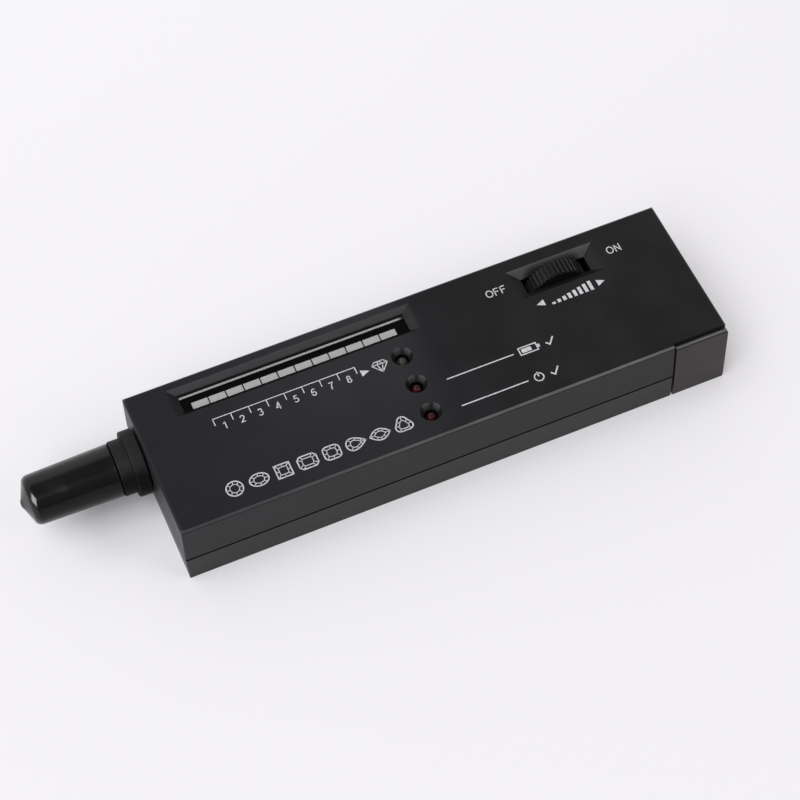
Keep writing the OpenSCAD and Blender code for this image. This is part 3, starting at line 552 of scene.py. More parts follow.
bareMetal = {
    "metal": 1.0,
    "cloudSize": 1.6 * mm, "cloudDetail": 4.0, "cloudSwing": 0.22,
    "fineSize": 0.09 * mm, "fineWay": (1.0, 0.12, 0.12), "fineSwing": 0.0,
}
zincSteel = {
    **bareMetal,
    "shade": (0.5, 0.5, 0.51),
    "light": (0.66, 0.66, 0.66),
    "rough": 0.3,
    "fineDepth": 0.004 * mm,
}
turnedCopper = {
    **bareMetal,
    "shade": (0.6, 0.24, 0.12),
    "light": (0.78, 0.37, 0.2),
    "rough": 0.26,
    "fineDepth": 0.01 * mm,
}
firedCeramic = {
    "shade": (0.66, 0.63, 0.55),
    "light": (0.78, 0.76, 0.7),
    "metal": 0.0,
    "rough": 0.45,
    "cloudSize": 3 * mm, "cloudDetail": 3.0, "cloudSwing": 0.0,
    "fineSize": 0.2 * mm, "fineWay": (1.0, 1.0, 1.0), "fineSwing": 0.16,
    "fineDepth": 0.008 * mm,
}
lacquer = {
    **firedCeramic,
    "patches": (0.3, 0.7),
    "cloudSize": 1.2 * mm, "cloudDetail": 4.0, "cloudSwing": 0.1,
    "fineSize": 0.15 * mm, "fineSwing": 0.14, "fineDepth": 0.006 * mm,
}


def plainFinish(name, look):
    material, s, place = newFinish(name)
    cloud = grain(s, place, look["cloudSize"], look["cloudDetail"])
    fine = grain(s, stretched(s, place, look["fineWay"]), look["fineSize"])
    patch = ramp(s, cloud, *look["patches"]) if "patches" in look else cloud
    closeFinish(s, {
        "Base Color": mixed(s, patch, look["shade"], look["light"]),
        "Metallic": look["metal"],
        "Roughness": look["rough"] + (fine - 0.5) * look["fineSwing"] + (cloud - 0.5) * look["cloudSwing"],
        "Normal": bumped(s, fine, look["fineDepth"]),
    })
    return material


solderMask = {
    "green": (0.008, 0.06, 0.02),
    "track": (0.02, 0.13, 0.045),
    "rough": (0.32, 0.42),
    "tracks": ((0.45, 0.5), (0.62, 0.67)),  # share of a cell
    "trackCell": 5 * mm, "trackHeight": 0.03 * mm,
    "fineSize": 0.3 * mm,
}


def boardFinish(look):
    material, s, place = newFinish("board_solder_mask")
    flat = stretched(s, place, (1.0, 1.0, 0.0))
    cell = s.node("ShaderNodeTexVoronoi", {"distance": "MANHATTAN"},
                  {"Vector": flat, "Scale": 1 / look["trackCell"]}, "Distance")
    track = band(s, cell, look["tracks"])
    fine = grain(s, place, look["fineSize"], 3.0)
    closeFinish(s, {
        "Base Color": mixed(s, track * 0.7 + fine * 0.2, look["green"], look["track"]),
        "Roughness": between(fine, look["rough"]),
        "Normal": bumped(s, track + fine * 0.1, look["trackHeight"]),
    })
    return material


batteryCan = {
    "sleeve": (0.045, 0.05, 0.06),
    "band": (0.3, 0.31, 0.32),
    "metal": (0.5, 0.5, 0.5),
    "rubbed": (0.1, 0.1, 0.1), "rubbedShare": 0.15,
    "terminal": 2.95 * mm, "terminalFade": 0.02 * mm,
    "bandLength": 15 * mm, "bandFade": 0.1 * mm,
    "rough": 0.3,
    "cloudSize": 5 * mm, "cloudSwing": 0.15,
    "fineSize": 0.3 * mm, "fineDepth": 0.006 * mm,
}


def batteryFinish(look):
    material, s, place = newFinish("battery_sleeve")
    back = along(s, place, "X")
    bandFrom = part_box("battery")[0].x + look["terminal"]
    bandTo = bandFrom + look["bandLength"]
    metal = 1.0 - ramp(s, back, bandFrom, bandFrom + look["terminalFade"])
    banded = 1.0 - ramp(s, back, bandTo, bandTo + look["bandFade"])
    cloud = grain(s, place, look["cloudSize"], 3.0)
    fine = grain(s, place, look["fineSize"], 3.0)
    sleeve = mixed(s, banded, look["sleeve"], look["band"])
    sleeve = mixed(s, cloud * look["rubbedShare"], sleeve, look["rubbed"])
    closeFinish(s, {
        "Base Color": mixed(s, metal, sleeve, look["metal"]),
        "Metallic": metal * 0.9 + banded * 0.1,
        "Roughness": look["rough"] + (cloud - 0.5) * look["cloudSwing"],
        "Normal": bumped(s, fine, look["fineDepth"]),
    })
    return material


resistorBody = {
    "shade": (0.45, 0.33, 0.16),
    "light": (0.58, 0.45, 0.25),
    "ring": (0.2, 0.03, 0.01),
    "leg": (0.6, 0.59, 0.57),
    "rings": 11.0,  # over the whole length, legs and all
    "ringFrom": (0.55, 0.62),  # share of a ring and its gap
    "ringed": ((0.2, 0.22), (0.78, 0.8)),
    "body": ((0.17, 0.18), (0.82, 0.83)),
    "rough": (0.3, 0.42),
    "fineSize": 0.4 * mm,
}


def resistorFinish(look):
    material, s, place = newFinish("resistor_lacquer")
    low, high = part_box("resistors")
    across = (along(s, place, "Y") - low.y) * (1 / (high.y - low.y))
    ring = ramp(s, s.maths("FRACT", across * look["rings"]), *look["ringFrom"])
    ring = ring * band(s, across, look["ringed"])
    leg = 1.0 - band(s, across, look["body"])
    fine = grain(s, place, look["fineSize"], 3.0)
    body = mixed(s, ring, mixed(s, fine, look["shade"], look["light"]), look["ring"])
    closeFinish(s, {
        "Base Color": mixed(s, leg, body, look["leg"]),
        "Metallic": leg,
        "Roughness": between(fine, look["rough"]),
    })
    return material


# Edges of the solids: welded, slightly broken, and shaded smooth up to a crease

edgeWork = {
    "weld": 0.002 * mm,
    "flat": math.radians(0.4),  # faces that meet at less are made one before the bevel
    "sharp": math.radians(28),  # edges that turn by more are broken
}


def newGroup(name):
    group = bpy.data.node_groups.new(name, "GeometryNodeTree")
    for way in ("INPUT", "OUTPUT"):
        group.interface.new_socket("Geometry", in_out=way, socket_type="NodeSocketGeometry")
    return group, Sock(group)


@cache
def smoothGroup(crease):
    group, s = newGroup("smooth_to_" + str(crease))
    sharp = s.node("FunctionNodeCompare", {"data_type": "FLOAT", "operation": "GREATER_THAN"},
                   {0: s.node("GeometryNodeInputMeshEdgeAngle"), 1: math.radians(crease)})
    soft = s.node("GeometryNodeSetShadeSmooth", {"domain": "FACE"},
                  {"Geometry": s.node("NodeGroupInput"), "Shade Smooth": True})
    creased = s.node("GeometryNodeSetShadeSmooth", {"domain": "EDGE"},
                     {"Geometry": soft, "Selection": sharp, "Shade Smooth": False})
    s.node("NodeGroupOutput", {}, {0: creased})
    return group


@cache
def edgeGroup(above):
    # marks the sharp edges that lie above a height, for the bevel that follows
    group, s = newGroup("edges_above_" + str(round(above / mm, 2)))
    sharp = s.maths("GREATER_THAN", s.node("GeometryNodeInputMeshEdgeAngle"), edgeWork["sharp"])
    high = s.maths("GREATER_THAN", along(s, s.node("GeometryNodeInputPosition"), "Z"), above)
    marked = s.node("GeometryNodeStoreNamedAttribute", {"data_type": "FLOAT", "domain": "EDGE"}, {
        "Geometry": s.node("NodeGroupInput"), "Name": "bevel_weight_edge", "Value": sharp * high})
    s.node("NodeGroupOutput", {}, {0: marked})
    return group


def dress(name, finish, bevel=0.0, segments=2, crease=32, above=-1.0):
    piece = nodes[name]
    weld = piece.modifiers.new("weld", "WELD")
    weld.merge_threshold = edgeWork["weld"]
    if bevel:
        flat = piece.modifiers.new("flat", "DECIMATE")
        flat.decimate_type = "DISSOLVE"
        flat.angle_limit = edgeWork["flat"]
        marks = piece.modifiers.new("marks", "NODES")
        marks.node_group = edgeGroup(above)
        edge = piece.modifiers.new("edge", "BEVEL")
        edge.limit_method = "WEIGHT"
        edge.width = bevel
        edge.segments = segments
        edge.use_clamp_overlap = False
    smooth = piece.modifiers.new("smooth", "NODES")
    smooth.node_group = smoothGroup(crease)
    even = piece.modifiers.new("even", "WEIGHTED_NORMAL")
    even.keep_sharp = True
    piece.material_slots[0].material = finish


# painted shade in the groove along the parting line
partingShade = {
    "paintedSlitShade": (0.0012, 0.0012, 0.0012),
    "slitShadeAt": ((parting - 0.66 * mm, parting - 0.62 * mm), (parting + 0.1 * mm, parting + 0.14 * mm)),
}
shellLooks = {
    "top_case": {
        **mouldedBlack, **topPaintedLight, **paintedOpeningLight, **edgeWearAndHighlight, **partingShade,
        "dark": (0.0102, 0.0102, 0.0111),
        "light": (0.015, 0.015, 0.0162),
        "gloss": 0.15,
        "wearLightAbove": topZ - 1.25 * mm,
    },
    "bottom_case": {
        **mouldedBlack, **partingShade,
        "dark": (0.0135, 0.0132, 0.0138),
        "light": (0.0195, 0.0191, 0.0198),
    },
    "battery_cover": {
        **mouldedBlack, **edgeWearAndHighlight,
        "dark": (0.0205, 0.017, 0.0172),
        "light": (0.027, 0.0231, 0.0234),
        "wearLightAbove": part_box("battery_cover")[1].z - 0.5 * mm,
    },
    "nose_collar": {
        **mouldedBlack,
        "dark": (0.002, 0.002, 0.002),
        "light": (0.006, 0.006, 0.006),
        # dust and painted light on the upward faces
        "dustAndTopLight": (0.0245, 0.0245, 0.024),
        "gloss": 0.07,
        "rough": 0.5,
        "cloudSize": 1.1 * mm,
        "grainDepth": 0.03 * mm,
        "dustCell": 2.4 * mm,
        "dustSize": 0.045,
    },
}
shellEdges = {
    "top_case": {"bevel": 0.1 * mm, "above": 12 * mm},
    "bottom_case": {"bevel": 0.08 * mm},
    "battery_cover": {"bevel": 0.35 * mm, "segments": 3, "above": 20.5 * mm},
    "nose_collar": {"bevel": 0.1 * mm},
}
for name, look in shellLooks.items():
    dress(name, mouldedFinish(name + "_black", look), **shellEdges[name])
dress("probe_cap", capFinish(glossBlack))
dress("volume_wheel", wheelFinish(gripBlack), 0.06 * mm, 1)
dress("lamp_mask", maskFinish(maskBlack), 0.05 * mm)
dress("lamp_tray", trayFinish(trayEdge), 0.05 * mm)
dress("scale_lamps", scaleLampFinish(lampBar), 0.05 * mm)
print("case, cap, wheel and display dressed")

domeTints = {  # finish, core and rim
    "result_lamp": ("dome_green", (0.34, 0.37, 0.28), (0.2, 0.23, 0.14)),
    "battery_lamp": ("dome_red_battery_lamp", (0.3, 0.034, 0.044), (0.14, 0.012, 0.017)),
    "ready_lamp": ("dome_red_ready_lamp", (0.3, 0.034, 0.044), (0.14, 0.012, 0.017)),
}
for name, (finish, core, rim) in domeTints.items():
    dress(name, domeFinish(finish, name, core, rim, clearDome))
print("round lamps dressed")

innerBlack = mouldedFinish("inner_black", {**mouldedBlack, "rough": 0.45})
for name in ("probe_barrel", "lamp_spacers", "driver_chips", "amplifier_chip", "buzzer", "battery_snap"):
    dress(name, innerBlack)
steel = plainFinish("zinc_steel", zincSteel)
for name in ("control_shaft", "wheel_screw", "case_screws", "board_screws"):
    dress(name, steel)
dress("probe_tip", plainFinish("turned_copper", turnedCopper))
ceramic = plainFinish("fired_ceramic", firedCeramic)
for name in ("probe_plug", "tip_heater"):
    dress(name, ceramic)
dress("circuit_board", boardFinish(solderMask))
dress("resistors", resistorFinish(resistorBody))
dress("battery", batteryFinish(batteryCan))
lacquered = {  # finish, shade, light, roughness, and the crease up to which it is smooth
    "volume_control": ("control_grey", (0.04, 0.043, 0.05), (0.065, 0.07, 0.08), 0.4, 32),
    "trimmers": ("trimmer_blue", (0.02, 0.05, 0.22), (0.035, 0.08, 0.32), 0.35, 32),
    "capacitors": ("capacitor_sleeve", (0.012, 0.016, 0.045), (0.025, 0.03, 0.07), 0.25, 32),
    "snap_wire_red": ("snap_wire_red_skin", (0.32, 0.012, 0.012), (0.45, 0.02, 0.02), 0.5, 60),
    "snap_wire_black": ("snap_wire_black_skin", (0.01, 0.01, 0.01), (0.018, 0.018, 0.018), 0.5, 60),
    "probe_wires": ("probe_wires_skin", (0.5, 0.36, 0.03), (0.62, 0.47, 0.06), 0.5, 60),
}
for name, (finish, shade, light, rough, crease) in lacquered.items():
    look = {**lacquer, "shade": shade, "light": light, "rough": rough}
    dress(name, plainFinish(finish, look), crease=crease)
print("inner pieces dressed")


# Spring behind the probe tip, with closed end turns

springCoil = {
    "wire": 0.36 * mm,
    "turns": 8,
    "endPitch": 0.4 * mm,
    "steps": 28,  # in a turn
    "sides": 12,  # of the wire
    "press": 1.5 * mm,
    "crease": 40,
}


def windSpring(look):
    low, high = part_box("probe_spring")
    middle = (low + high) / 2
    wire, turns, endPitch = look["wire"], look["turns"], look["endPitch"]
    radius = (high.y - low.y - wire) / 2
    freePitch = (high.x - low.x - wire - 2 * endPitch) / (turns - 2)
    corners = [2 * math.pi * k / look["sides"] for k in range(look["sides"])]
    mesh = bmesh.new()
    rings = []
    for i in range(turns * look["steps"] + 1):
        turn = i / look["steps"]
        rise = endPitch * (min(turn, 1.0) + max(turn - turns + 1.0, 0.0))
        rise += freePitch * min(max(turn - 1.0, 0.0), turns - 2.0)
        pitch = freePitch if 1.0 < turn < turns - 1.0 else endPitch
        angle = 2 * math.pi * turn
        out = Vector((0.0, math.cos(angle), math.sin(angle)))
        run = Vector((pitch / (2 * math.pi), -out.z * radius, out.y * radius)).normalized()
        side = run.cross(out)
        centre = Vector((low.x + wire / 2 + rise, middle.y, middle.z)) + out * radius
        spokes = [out * math.cos(t) + side * math.sin(t) for t in corners]
        rings.append([mesh.verts.new(centre + spoke * wire / 2) for spoke in spokes])
    for first, second in zip(rings, rings[1:]):
        for k in range(look["sides"]):
            n = (k + 1) % look["sides"]
            mesh.faces.new((first[k], first[n], second[n], second[k]))
    mesh.faces.new(rings[0])
    mesh.faces.new(rings[-1])
    bmesh.ops.recalc_face_normals(mesh, faces=mesh.faces[:])
    shape = bpy.data.meshes.new("tip_spring")
    mesh.to_mesh(shape)
    mesh.free()
    spring = bpy.data.objects.new("tip_spring", shape)
    bpy.context.scene.collection.objects.link(spring)
    shape.materials.append(steel)
    smooth = spring.modifiers.new("smooth", "NODES")
    smooth.node_group = smoothGroup(look["crease"])
    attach(spring, "case")
    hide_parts("probe_spring")
    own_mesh(spring)


windSpring(springCoil)
print("spring wound")


# White print on the top face, as thin films of ink

inkFilm = {
    "lean": 0.3 * mm,  # the top edge stands this far behind the front end
    "film": 0.015 * mm,
    "lift": 0.004 * mm,
    "mitre": 0.4,  # keeps the corners of the strokes from growing long
}
ink = inkFinish(inkWhite)


def bow(x, y, width, height, start, end, steps=14):
    turns = [math.radians(start + (end - start) * k / steps) for k in range(steps + 1)]
    return [(x + width * math.cos(t), y + height * math.sin(t)) for t in turns]


glyphs = {  # middle lines of the strokes, one unit high
    "1": [[(0.12, 0.73), (0.27, 0.82), (0.36, 0.97)], [(0.36, 1.0), (0.36, 0.0)]],
    "2": [bow(0.3, 0.7, 0.225, 0.24, 170, -30) + [(0.1, 0.06), (0.55, 0.06)]],
    "3": [bow(0.28, 0.73, 0.2, 0.21, 160, -90), bow(0.28, 0.28, 0.23, 0.22, 90, -160)],
    "4": [[(0.43, 0.0), (0.43, 1.0)], [(0.4, 0.94), (0.07, 0.28), (0.6, 0.28)]],
    "5": [[(0.54, 0.94), (0.17, 0.94), (0.11, 0.48)], bow(0.29, 0.33, 0.24, 0.27, 140, -160)],
    "6": [bow(0.3, 0.31, 0.235, 0.25, 0, 360), bow(0.33, 0.5, 0.265, 0.44, 50, 185) + [(0.066, 0.33)]],
    "7": [[(0.05, 0.94), (0.54, 0.94), (0.4, 0.72), (0.29, 0.45), (0.22, 0.0)]],
    "8": [bow(0.3, 0.735, 0.185, 0.205, 0, 360), bow(0.3, 0.28, 0.235, 0.22, 0, 360)],
    "O": [bow(0.4, 0.5, 0.36, 0.44, 0, 360, 24)],
    "F": [[(0.06, 0.0), (0.06, 1.0)], [(0.06, 0.94), (0.57, 0.94)], [(0.06, 0.51), (0.5, 0.51)]],
    "N": [[(0.06, 0.0), (0.06, 1.0)], [(0.06, 0.95), (0.62, 0.05)], [(0.62, 0.0), (0.62, 1.0)]],
}


class Sheet:
    # collects flat outlines, in millimetres from the front top edge and the middle of the case
    def __init__(self, name):
        self.name = name
        self.mesh = bmesh.new()

    def fill(self, points):
        corners = [self.mesh.verts.new((x, y, 0.0)) for x, y in points]
        self.mesh.faces.new(corners)

    def bar(self, left, right, foot, top):
        self.fill([(left, foot), (right, foot), (right, top), (left, top)])

    def stroke(self, points, width, closed=False):
        count = len(points)
        left, right = [], []
        for i, point in enumerate(points):
            here = Vector(point)
            before = Vector(points[i - 1]) if i or closed else None
            after = Vector(points[(i + 1) % count]) if i + 1 < count or closed else None
            come = (here - before).normalized() if before else None
            go = (after - here).normalized() if after else None
            come, go = come or go, go or come
            run = (come + go).normalized()
            side = Vector((-run.y, run.x))
            reach = width / 2 / max(inkFilm["mitre"], side.dot(Vector((-go.y, go.x))))
            left.append(self.mesh.verts.new((*(here + side * reach), 0.0)))
            right.append(self.mesh.verts.new((*(here - side * reach), 0.0)))
        for i in range(count if closed else count - 1):
            k = (i + 1) % count
            self.mesh.faces.new((left[i], right[i], right[k], left[k]))

    def word(self, letters, x, y, look):
        height = look["height"]
        edges = [[px for line in glyphs[letter] for px, py in line] for letter in letters]
        spans = [max(edge) - min(edge) for edge in edges]
        left = -(sum(spans) + look["gap"] * (len(letters) - 1)) / 2
        for letter, edge, span in zip(letters, edges, spans):
            for line in glyphs[letter]:
                points = [(x + (left + px - min(edge)) * height, y + (py - 0.5) * height) for px, py in line]
                closed = math.dist(points[0], points[-1]) < 0.001
                self.stroke(points[:-1] if closed else points, look["weight"], closed)
            left += span + look["gap"]

    def lay(self):
        bmesh.ops.recalc_face_normals(self.mesh, faces=self.mesh.faces[:])
        for face in self.mesh.faces:
            if face.normal.z < 0:
                face.normal_flip()
        made = bmesh.ops.extrude_face_region(self.mesh, geom=self.mesh.faces[:])
        upper = [part for part in made["geom"] if isinstance(part, bmesh.types.BMVert)]
        bmesh.ops.translate(self.mesh, verts=upper, vec=(0.0, 0.0, inkFilm["film"] / mm))
        bmesh.ops.recalc_face_normals(self.mesh, faces=self.mesh.faces[:])
        shape = bpy.data.meshes.new(self.name)
        self.mesh.to_mesh(shape)
        self.mesh.free()
        start = Vector((frontX + inkFilm["lean"], 0.0, topZ + inkFilm["lift"]))
        shape.transform(Matrix.Translation(start) @ Matrix.Scale(mm, 4))
        shape.materials.append(ink)
        piece = bpy.data.objects.new(self.name, shape)
        bpy.context.scene.collection.objects.link(piece)
        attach(piece, "case")


arrowSign = {"length": 2.3, "half": 1.05}
gemSign = {"crown": 0.22, "depth": 0.6, "table": 0.58, "facet": 0.36}  # shares of its width and half width
checkSign = [(-0.5, 0.0), (-0.15, -0.4), (0.55, 0.5)]  # shares of its size


def drawArrow(sheet, tip, y, way):
    base = tip - way * arrowSign["length"]
    sheet.fill([(tip, y), (base, y - arrowSign["half"]), (base, y + arrowSign["half"])])


def drawGem(sheet, x, y, width, line):
    # side view of a cut stone: table, girdle and point
    half, crown, depth = width / 2, width * gemSign["crown"], width * gemSign["depth"]
    table, facet = half * gemSign["table"], half * gemSign["facet"]
    top = y + (crown + depth) / 2
    girdle = top - crown
    point = girdle - depth
    sheet.stroke([(x - table, top), (x + table, top), (x + half, girdle), (x, point), (x - half, girdle)],
                 line, True)
    sheet.stroke([(x - half, girdle), (x + half, girdle)], line)
    for side in (x - facet, x + facet):
        sheet.stroke([(side, girdle), (x, top)], line)
        sheet.stroke([(side, girdle), (x, point)], line)


def drawCheck(sheet, x, y, size, line):
    sheet.stroke([(x + size * px, y + size * py) for px, py in checkSign], line)


scalePrint = {
    "line": 0.25,
    "start": 19.44,
    "pitch": 5.0,
    "count": 8,
    "y": 6.5,
    "tick": 2.2,
    "digitY": 3.55,
    "digitAt": 0.47,  # share of the pitch
    "digit": {"height": 2.3, "weight": 0.28, "gap": 0.2},
    "signY": 3.9,
    "arrowTip": 62.7,
    "gemX": 66.0, "gemWidth": 4.4, "gemLine": 0.26,
}


def printScale(look):
    sheet = Sheet("print_scale")
    line, start, pitch, y = look["line"], look["start"], look["pitch"], look["y"]
    sheet.stroke([(start - line / 2, y), (start + look["count"] * pitch + line / 2, y)], line)
    for i in range(look["count"] + 1):
        x = start + i * pitch
        sheet.stroke([(x, y - line / 2), (x, y - look["tick"])], line)
    for i in range(look["count"]):
        sheet.word(str(i + 1), start + (i + look["digitAt"]) * pitch, look["digitY"], look["digit"])
    drawArrow(sheet, look["arrowTip"], look["signY"], 1)
    drawGem(sheet, look["gemX"], look["signY"], look["gemWidth"], look["gemLine"])
    sheet.lay()


wheelPrint = {
    "words": {"OFF": 103.7, "ON": 138.7},
    "wordY": 13.6,
    "word": {"height": 2.45, "weight": 0.3, "gap": 0.26},
    "arrows": {-1: 111.8, 1: 132.0},  # way and tip
    "arrowY": 5.0,
    "bars": 8,
    "barStart": 115.9, "barPitch": 1.62, "barWidth": 0.95, "barFoot": 3.4,
    "barHeight": (0.7, 3.2),  # of the first and the last
}


def printWheel(look):
    sheet = Sheet("print_wheel")
    for word, x in look["words"].items():
        sheet.word(word, x, look["wordY"], look["word"])
    for way, tip in look["arrows"].items():
        drawArrow(sheet, tip, look["arrowY"], way)
    for i in range(look["bars"]):
        x = look["barStart"] + i * look["barPitch"]
        height = between(i / (look["bars"] - 1), look["barHeight"])
        sheet.bar(x, x + look["barWidth"], look["barFoot"], look["barFoot"] + height)
    sheet.lay()


lampPrint = {
    "line": 0.34,
    "upperY": -7.1,
    "lowerY": -16.4,
    "upperLead": (80.2, 99.5),  # lines from the lamps to their signs
    "lowerLead": (80.4, 99.5),
    "cell": (101.2, 106.2, 1.15),  # left, right and half height of the battery sign
    "knob": (106.4, 107.0, 0.5),
    "charge": (101.8, 104.6, 0.65),
    "power": (102.6, 1.25),  # middle and radius of the power sign
    "powerStroke": (0.2, 1.7),
    "upperCheck": 110.0,
    "lowerCheck": 107.2,
    "checkSize": 2.4, "checkLine": 0.408,
}


def printLamps(look):
    sheet = Sheet("print_lamps")
    line, upper, lower = look["line"], look["upperY"], look["lowerY"]
    sheet.stroke([(x, upper) for x in look["upperLead"]], line)
    left, right, half = look["cell"]
    foot, top = upper - half, upper + half
    sheet.stroke([(left, foot), (right, foot), (right, top), (left, top)], line, True)
    for part in ("knob", "charge"):
        left, right, half = look[part]
        sheet.bar(left, right, upper - half, upper + half)
    drawCheck(sheet, look["upperCheck"], upper, look["checkSize"], look["checkLine"])
    sheet.stroke([(x, lower) for x in look["lowerLead"]], line)
    middle, radius = look["power"]
    sheet.stroke(bow(middle, lower, radius, radius, 0, 360, 40)[:-1], line, True)
    sheet.stroke([(middle, lower + y) for y in look["powerStroke"]], line)
    drawCheck(sheet, look["lowerCheck"], lower, look["checkSize"], look["checkLine"])
    sheet.lay()


stonePrint = {
    "start": 17.2,
    "pitch": 6.72,
    "y": -15.75,
    "line": 0.34,
    "facet": 0.22,
    "facets": 8,
    "table": 0.56,
    "points": 24,
    "cuts": {  # half width and half height, in the order of the row
        "round": (2.25, 2.25), "oval": (2.6, 1.9), "square": (2.05, 2.05), "step": (2.6, 2.0),
        "cushion": (2.3, 2.1), "pear": (2.7, 2.5), "leaf": (2.8, 1.75), "triangle": (2.2, 2.2),
    },
    "stepCorner": 0.8,
    "cushionPower": 0.55,
    "triangleSwell": 0.16, "triangleRise": 0.25,
}


def bulged(value, power):
    return math.copysign(abs(value) ** power, value)


def stoneOutline(cut, look):
    # outlines of common cuts, seen from above
    count = look["points"]
    turns = [2 * math.pi * k / count for k in range(count)]
    w, h = look["cuts"][cut]
    if cut == "pear":
        return [(w * math.cos(t), h * math.sin(t) * math.sin(t / 2)) for t in turns]
    if cut == "cushion":
        power = look["cushionPower"]
        return [(w * bulged(math.cos(t), power), h * bulged(math.sin(t), power)) for t in turns]
    if cut == "triangle":
        rise = look["triangleRise"]
        swells = [1 - look["triangleSwell"] * math.cos(3 * t) for t in turns]
        return [(w * swell * math.sin(t), rise - h * swell * math.cos(t)) for t, swell in zip(turns, swells)]
    if cut == "leaf":
        half = count // 2
        upper = [(w - 2 * w * k / half, h * (1 - (1 - 2 * k / half) ** 2)) for k in range(half)]
        return upper + [(-x, -y) for x, y in upper]
    if cut == "step":
        a, b = w - look["stepCorner"], h - look["stepCorner"]
        return [(w, -b), (w, b), (a, h), (-a, h), (-w, b), (-w, -b), (-a, -h), (a, -h)]
    if cut == "square":
        return [(w, -h), (w, 0.0), (w, h), (0.0, h), (-w, h), (-w, 0.0), (-w, -h), (0.0, -h)]
    return [(w * math.cos(t), h * math.sin(t)) for t in turns]


def printStones(look):
    sheet = Sheet("print_stones")
    for i, cut in enumerate(look["cuts"]):
        x, y = look["start"] + i * look["pitch"], look["y"]
        shape = stoneOutline(cut, look)
        outline = [(x + px, y + py) for px, py in shape]
        table = [(x + px * look["table"], y + py * look["table"]) for px, py in shape]
        sheet.stroke(outline, look["line"], True)
        sheet.stroke(table, look["facet"], True)
        for k in range(0, len(shape), len(shape) // look["facets"]):
            sheet.stroke([table[k], outline[k]], look["facet"])
    sheet.lay()


printScale(scalePrint)
printWheel(wheelPrint)
printLamps(lampPrint)
printStones(stonePrint)
print("print laid on the top face")


# Camera at the photograph's angle

cameraLook = {
    "place": (-115.63, -338.03, 541.79),  # in millimetres
    "right": (0.91933, -0.39200, -0.03408),
    "up": (0.34252, 0.75464, 0.55963),
    "back": (-0.19366, -0.52617, 0.82803),
    "lens": 108.0,
    "sensor": 36.0,
    "clipStart": 0.01,
}


def placeCamera(look):
    data = bpy.data.cameras.new("camera")
    data.lens = look["lens"]
    data.sensor_width = look["sensor"]
    data.clip_start = look["clipStart"]
    camera = bpy.data.objects.new("camera", data)
    turn = Matrix((look["right"], look["up"], look["back"])).transposed().to_4x4()
    camera.matrix_world = Matrix.Translation(Vector(look["place"]) * mm) @ turn
    bpy.context.scene.collection.objects.link(camera)
    bpy.context.scene.camera = camera


placeCamera(cameraLook)


# Pale floor, dim room with a pale horizon, and four soft boxes

floorPaper = {
    "paper": (0.872, 0.858, 0.882),
    "cloudShade": 0.985, "cloudSize": 90 * mm,
    "size": 6.0,
    "drop": 0.02 * mm,
    "sweepNear": (0.92, 0.905, 0.93),  # lit paper as the camera and reflections see it, over the soft shadow
    "sweepFar": (1.0, 0.985, 1.0),
    "sweepShare": (0.42, 0.62),  # near the camera and far back
    "sweepAlong": (-0.12, 0.3),
    "shades": {"bottom_case": (0.4, 18 * mm), "nose_collar": (0.97, 17 * mm)},  # how deep and how far each is
}


def outsideBox(s, place, node):
    # distance on the floor from the box of a node
    low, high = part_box(node)
    awayX = s.maths("ABSOLUTE", along(s, place, "X") - (low.x + high.x) / 2) - (high.x - low.x) / 2
    awayY = s.maths("ABSOLUTE", along(s, place, "Y") - (low.y + high.y) / 2) - (high.y - low.y) / 2
    awayX = s.maths("MAXIMUM", awayX, 0.0)
    awayY = s.maths("MAXIMUM", awayY, 0.0)
    return s.maths("SQRT", awayX * awayX + awayY * awayY)


def layFloor(look):
    half = look["size"] / 2
    shape = bpy.data.meshes.new("floor")
    corners = [(-half, -half, 0), (half, -half, 0), (half, half, 0), (-half, half, 0)]
    shape.from_pydata(corners, [], [(0, 1, 2, 3)])
    floor = bpy.data.objects.new("floor", shape)
    floor.location.z = -look["drop"]
    bpy.context.scene.collection.objects.link(floor)
    material, s, place = newFinish("floor_paper")
    shade = tuple(look["cloudShade"] * c for c in look["paper"])
    paper = s.node("ShaderNodeBsdfPrincipled", {}, {
        "Base Color": mixed(s, grain(s, place, look["cloudSize"], 3.0), shade, look["paper"]),
        "Roughness": 1.0,
        "Specular IOR Level": 0.0,
    })
    back = ramp(s, along(s, place, "Y"), *look["sweepAlong"])
    near, far = (s.node("ShaderNodeEmission", {}, {"Color": look[end]}) for end in ("sweepNear", "sweepFar"))
    glow = s.node("ShaderNodeMixShader", {}, {0: back, 1: near, 2: far})
    rays = ("Is Camera Ray", "Is Glossy Ray", "Is Transmission Ray")
    camera, glossy, through = (s.node("ShaderNodeLightPath", {}, {}, ray) for ray in rays)
    shades = [(1.0 - ramp(s, outsideBox(s, place, name), 0.0, reach)) * depth
              for name, (depth, reach) in look["shades"].items()]
    lit = 1.0 - s.maths("MAXIMUM", *shades)
    seen = s.maths("MINIMUM", camera + glossy + through, 1.0) * lit * between(back, look["sweepShare"])
    surface = s.node("ShaderNodeMixShader", {}, {0: seen, 1: paper, 2: glow})
    s.node("ShaderNodeOutputMaterial", {}, {"Surface": surface})
    shape.materials.append(material)


room = {
    "pale": (0.8, 0.79, 0.81),
    "dark": (0.09, 0.09, 0.095),
    "horizon": (0.02, 0.16),  # pale band all round: where it starts to darken and where it ends
    "wall": (0.74, 0.93),  # pale wall behind the object, likewise
    "wallBehind": (-0.1, 0.7),
    "gap": 0.12,  # middle of the dark strip overhead
    "gapFade": (0.3, 0.72), "gapBehind": 0.6,
}


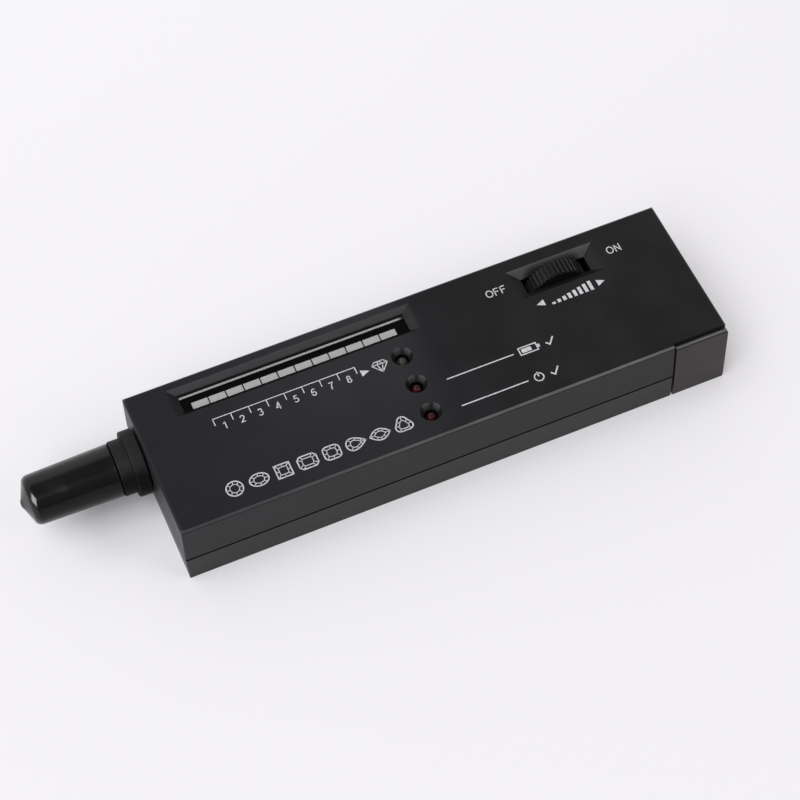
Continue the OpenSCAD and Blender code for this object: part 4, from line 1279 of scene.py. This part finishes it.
def lightRoom(look):
    world = bpy.data.worlds.new("room")
    bpy.context.scene.world = world
    world.use_nodes = True
    world.node_tree.nodes.clear()
    s = Sock(world.node_tree)
    way = s.node("ShaderNodeTexCoord", {}, {}, "Generated")
    x, y, upward = (along(s, way, axis) for axis in "XYZ")
    horizon = 1.0 - ramp(s, upward, *look["horizon"])
    behind = ramp(s, y, *look["wallBehind"])
    wall = (1.0 - ramp(s, upward, *look["wall"])) * behind
    sides = ramp(s, s.maths("ABSOLUTE", x - look["gap"]), *look["gapFade"])
    sides = sides * (1.0 - behind * look["gapBehind"])
    share = s.maths("MAXIMUM", s.maths("MAXIMUM", horizon, wall), sides)
    sky = mixed(s, share, look["dark"], look["pale"])
    background = s.node("ShaderNodeBackground", {}, {"Color": sky, "Strength": 1.0})
    s.node("ShaderNodeOutputWorld", {}, {"Surface": background})


softBoxes = {
    "box_high": {"from": (-0.38, 0.04, 0.92), "away": 2.0, "size": (1.4, 1.4), "power": 15.0,
                 "colour": (1.0, 1.0, 1.0), "mirrored": False, "lighting": True},
    "box_left": {"from": (-0.56, -0.45, 0.7), "away": 2.0, "size": (1.05, 1.05), "power": 12.0,
                 "colour": (0.975, 0.99, 1.0), "mirrored": False, "lighting": True},
    "box_right": {"from": (0.62, -0.55, 0.56), "away": 2.0, "size": (0.7, 0.7), "power": 6.0,
                  "colour": (1.0, 0.975, 0.95), "mirrored": True, "lighting": True},
    "box_sheen": {"from": (-0.56, -0.45, 0.7), "away": 1.9, "size": (1.5, 1.35), "power": 78.0,
                  "colour": (1.0, 0.98, 0.97), "mirrored": True, "lighting": False,
                  "onto": ("probe_cap", "nose_collar", "volume_wheel")},
}


def hangBox(name, look):
    data = bpy.data.lights.new(name, "AREA")
    data.shape = "RECTANGLE"
    data.size, data.size_y = look["size"]
    data.energy = look["power"]
    data.color = look["colour"]
    lamp = bpy.data.objects.new(name, data)
    aim = Vector(look["from"]).normalized()
    lamp.location = aim * look["away"]
    lamp.rotation_euler = aim.to_track_quat("Z", "Y").to_euler()
    lamp.visible_glossy = look["mirrored"]
    lamp.visible_diffuse = look["lighting"]
    bpy.context.scene.collection.objects.link(lamp)
    if "onto" in look:  # flagged off from all but these pieces
        lit = bpy.data.collections.new(name + "_onto")
        for piece in look["onto"]:
            lit.objects.link(nodes[piece])
        lamp.light_linking.receiver_collection = lit


layFloor(floorPaper)
lightRoom(room)
for name, look in softBoxes.items():
    hangBox(name, look)
bpy.context.scene.view_settings.view_transform = "Standard"
print("studio lit")
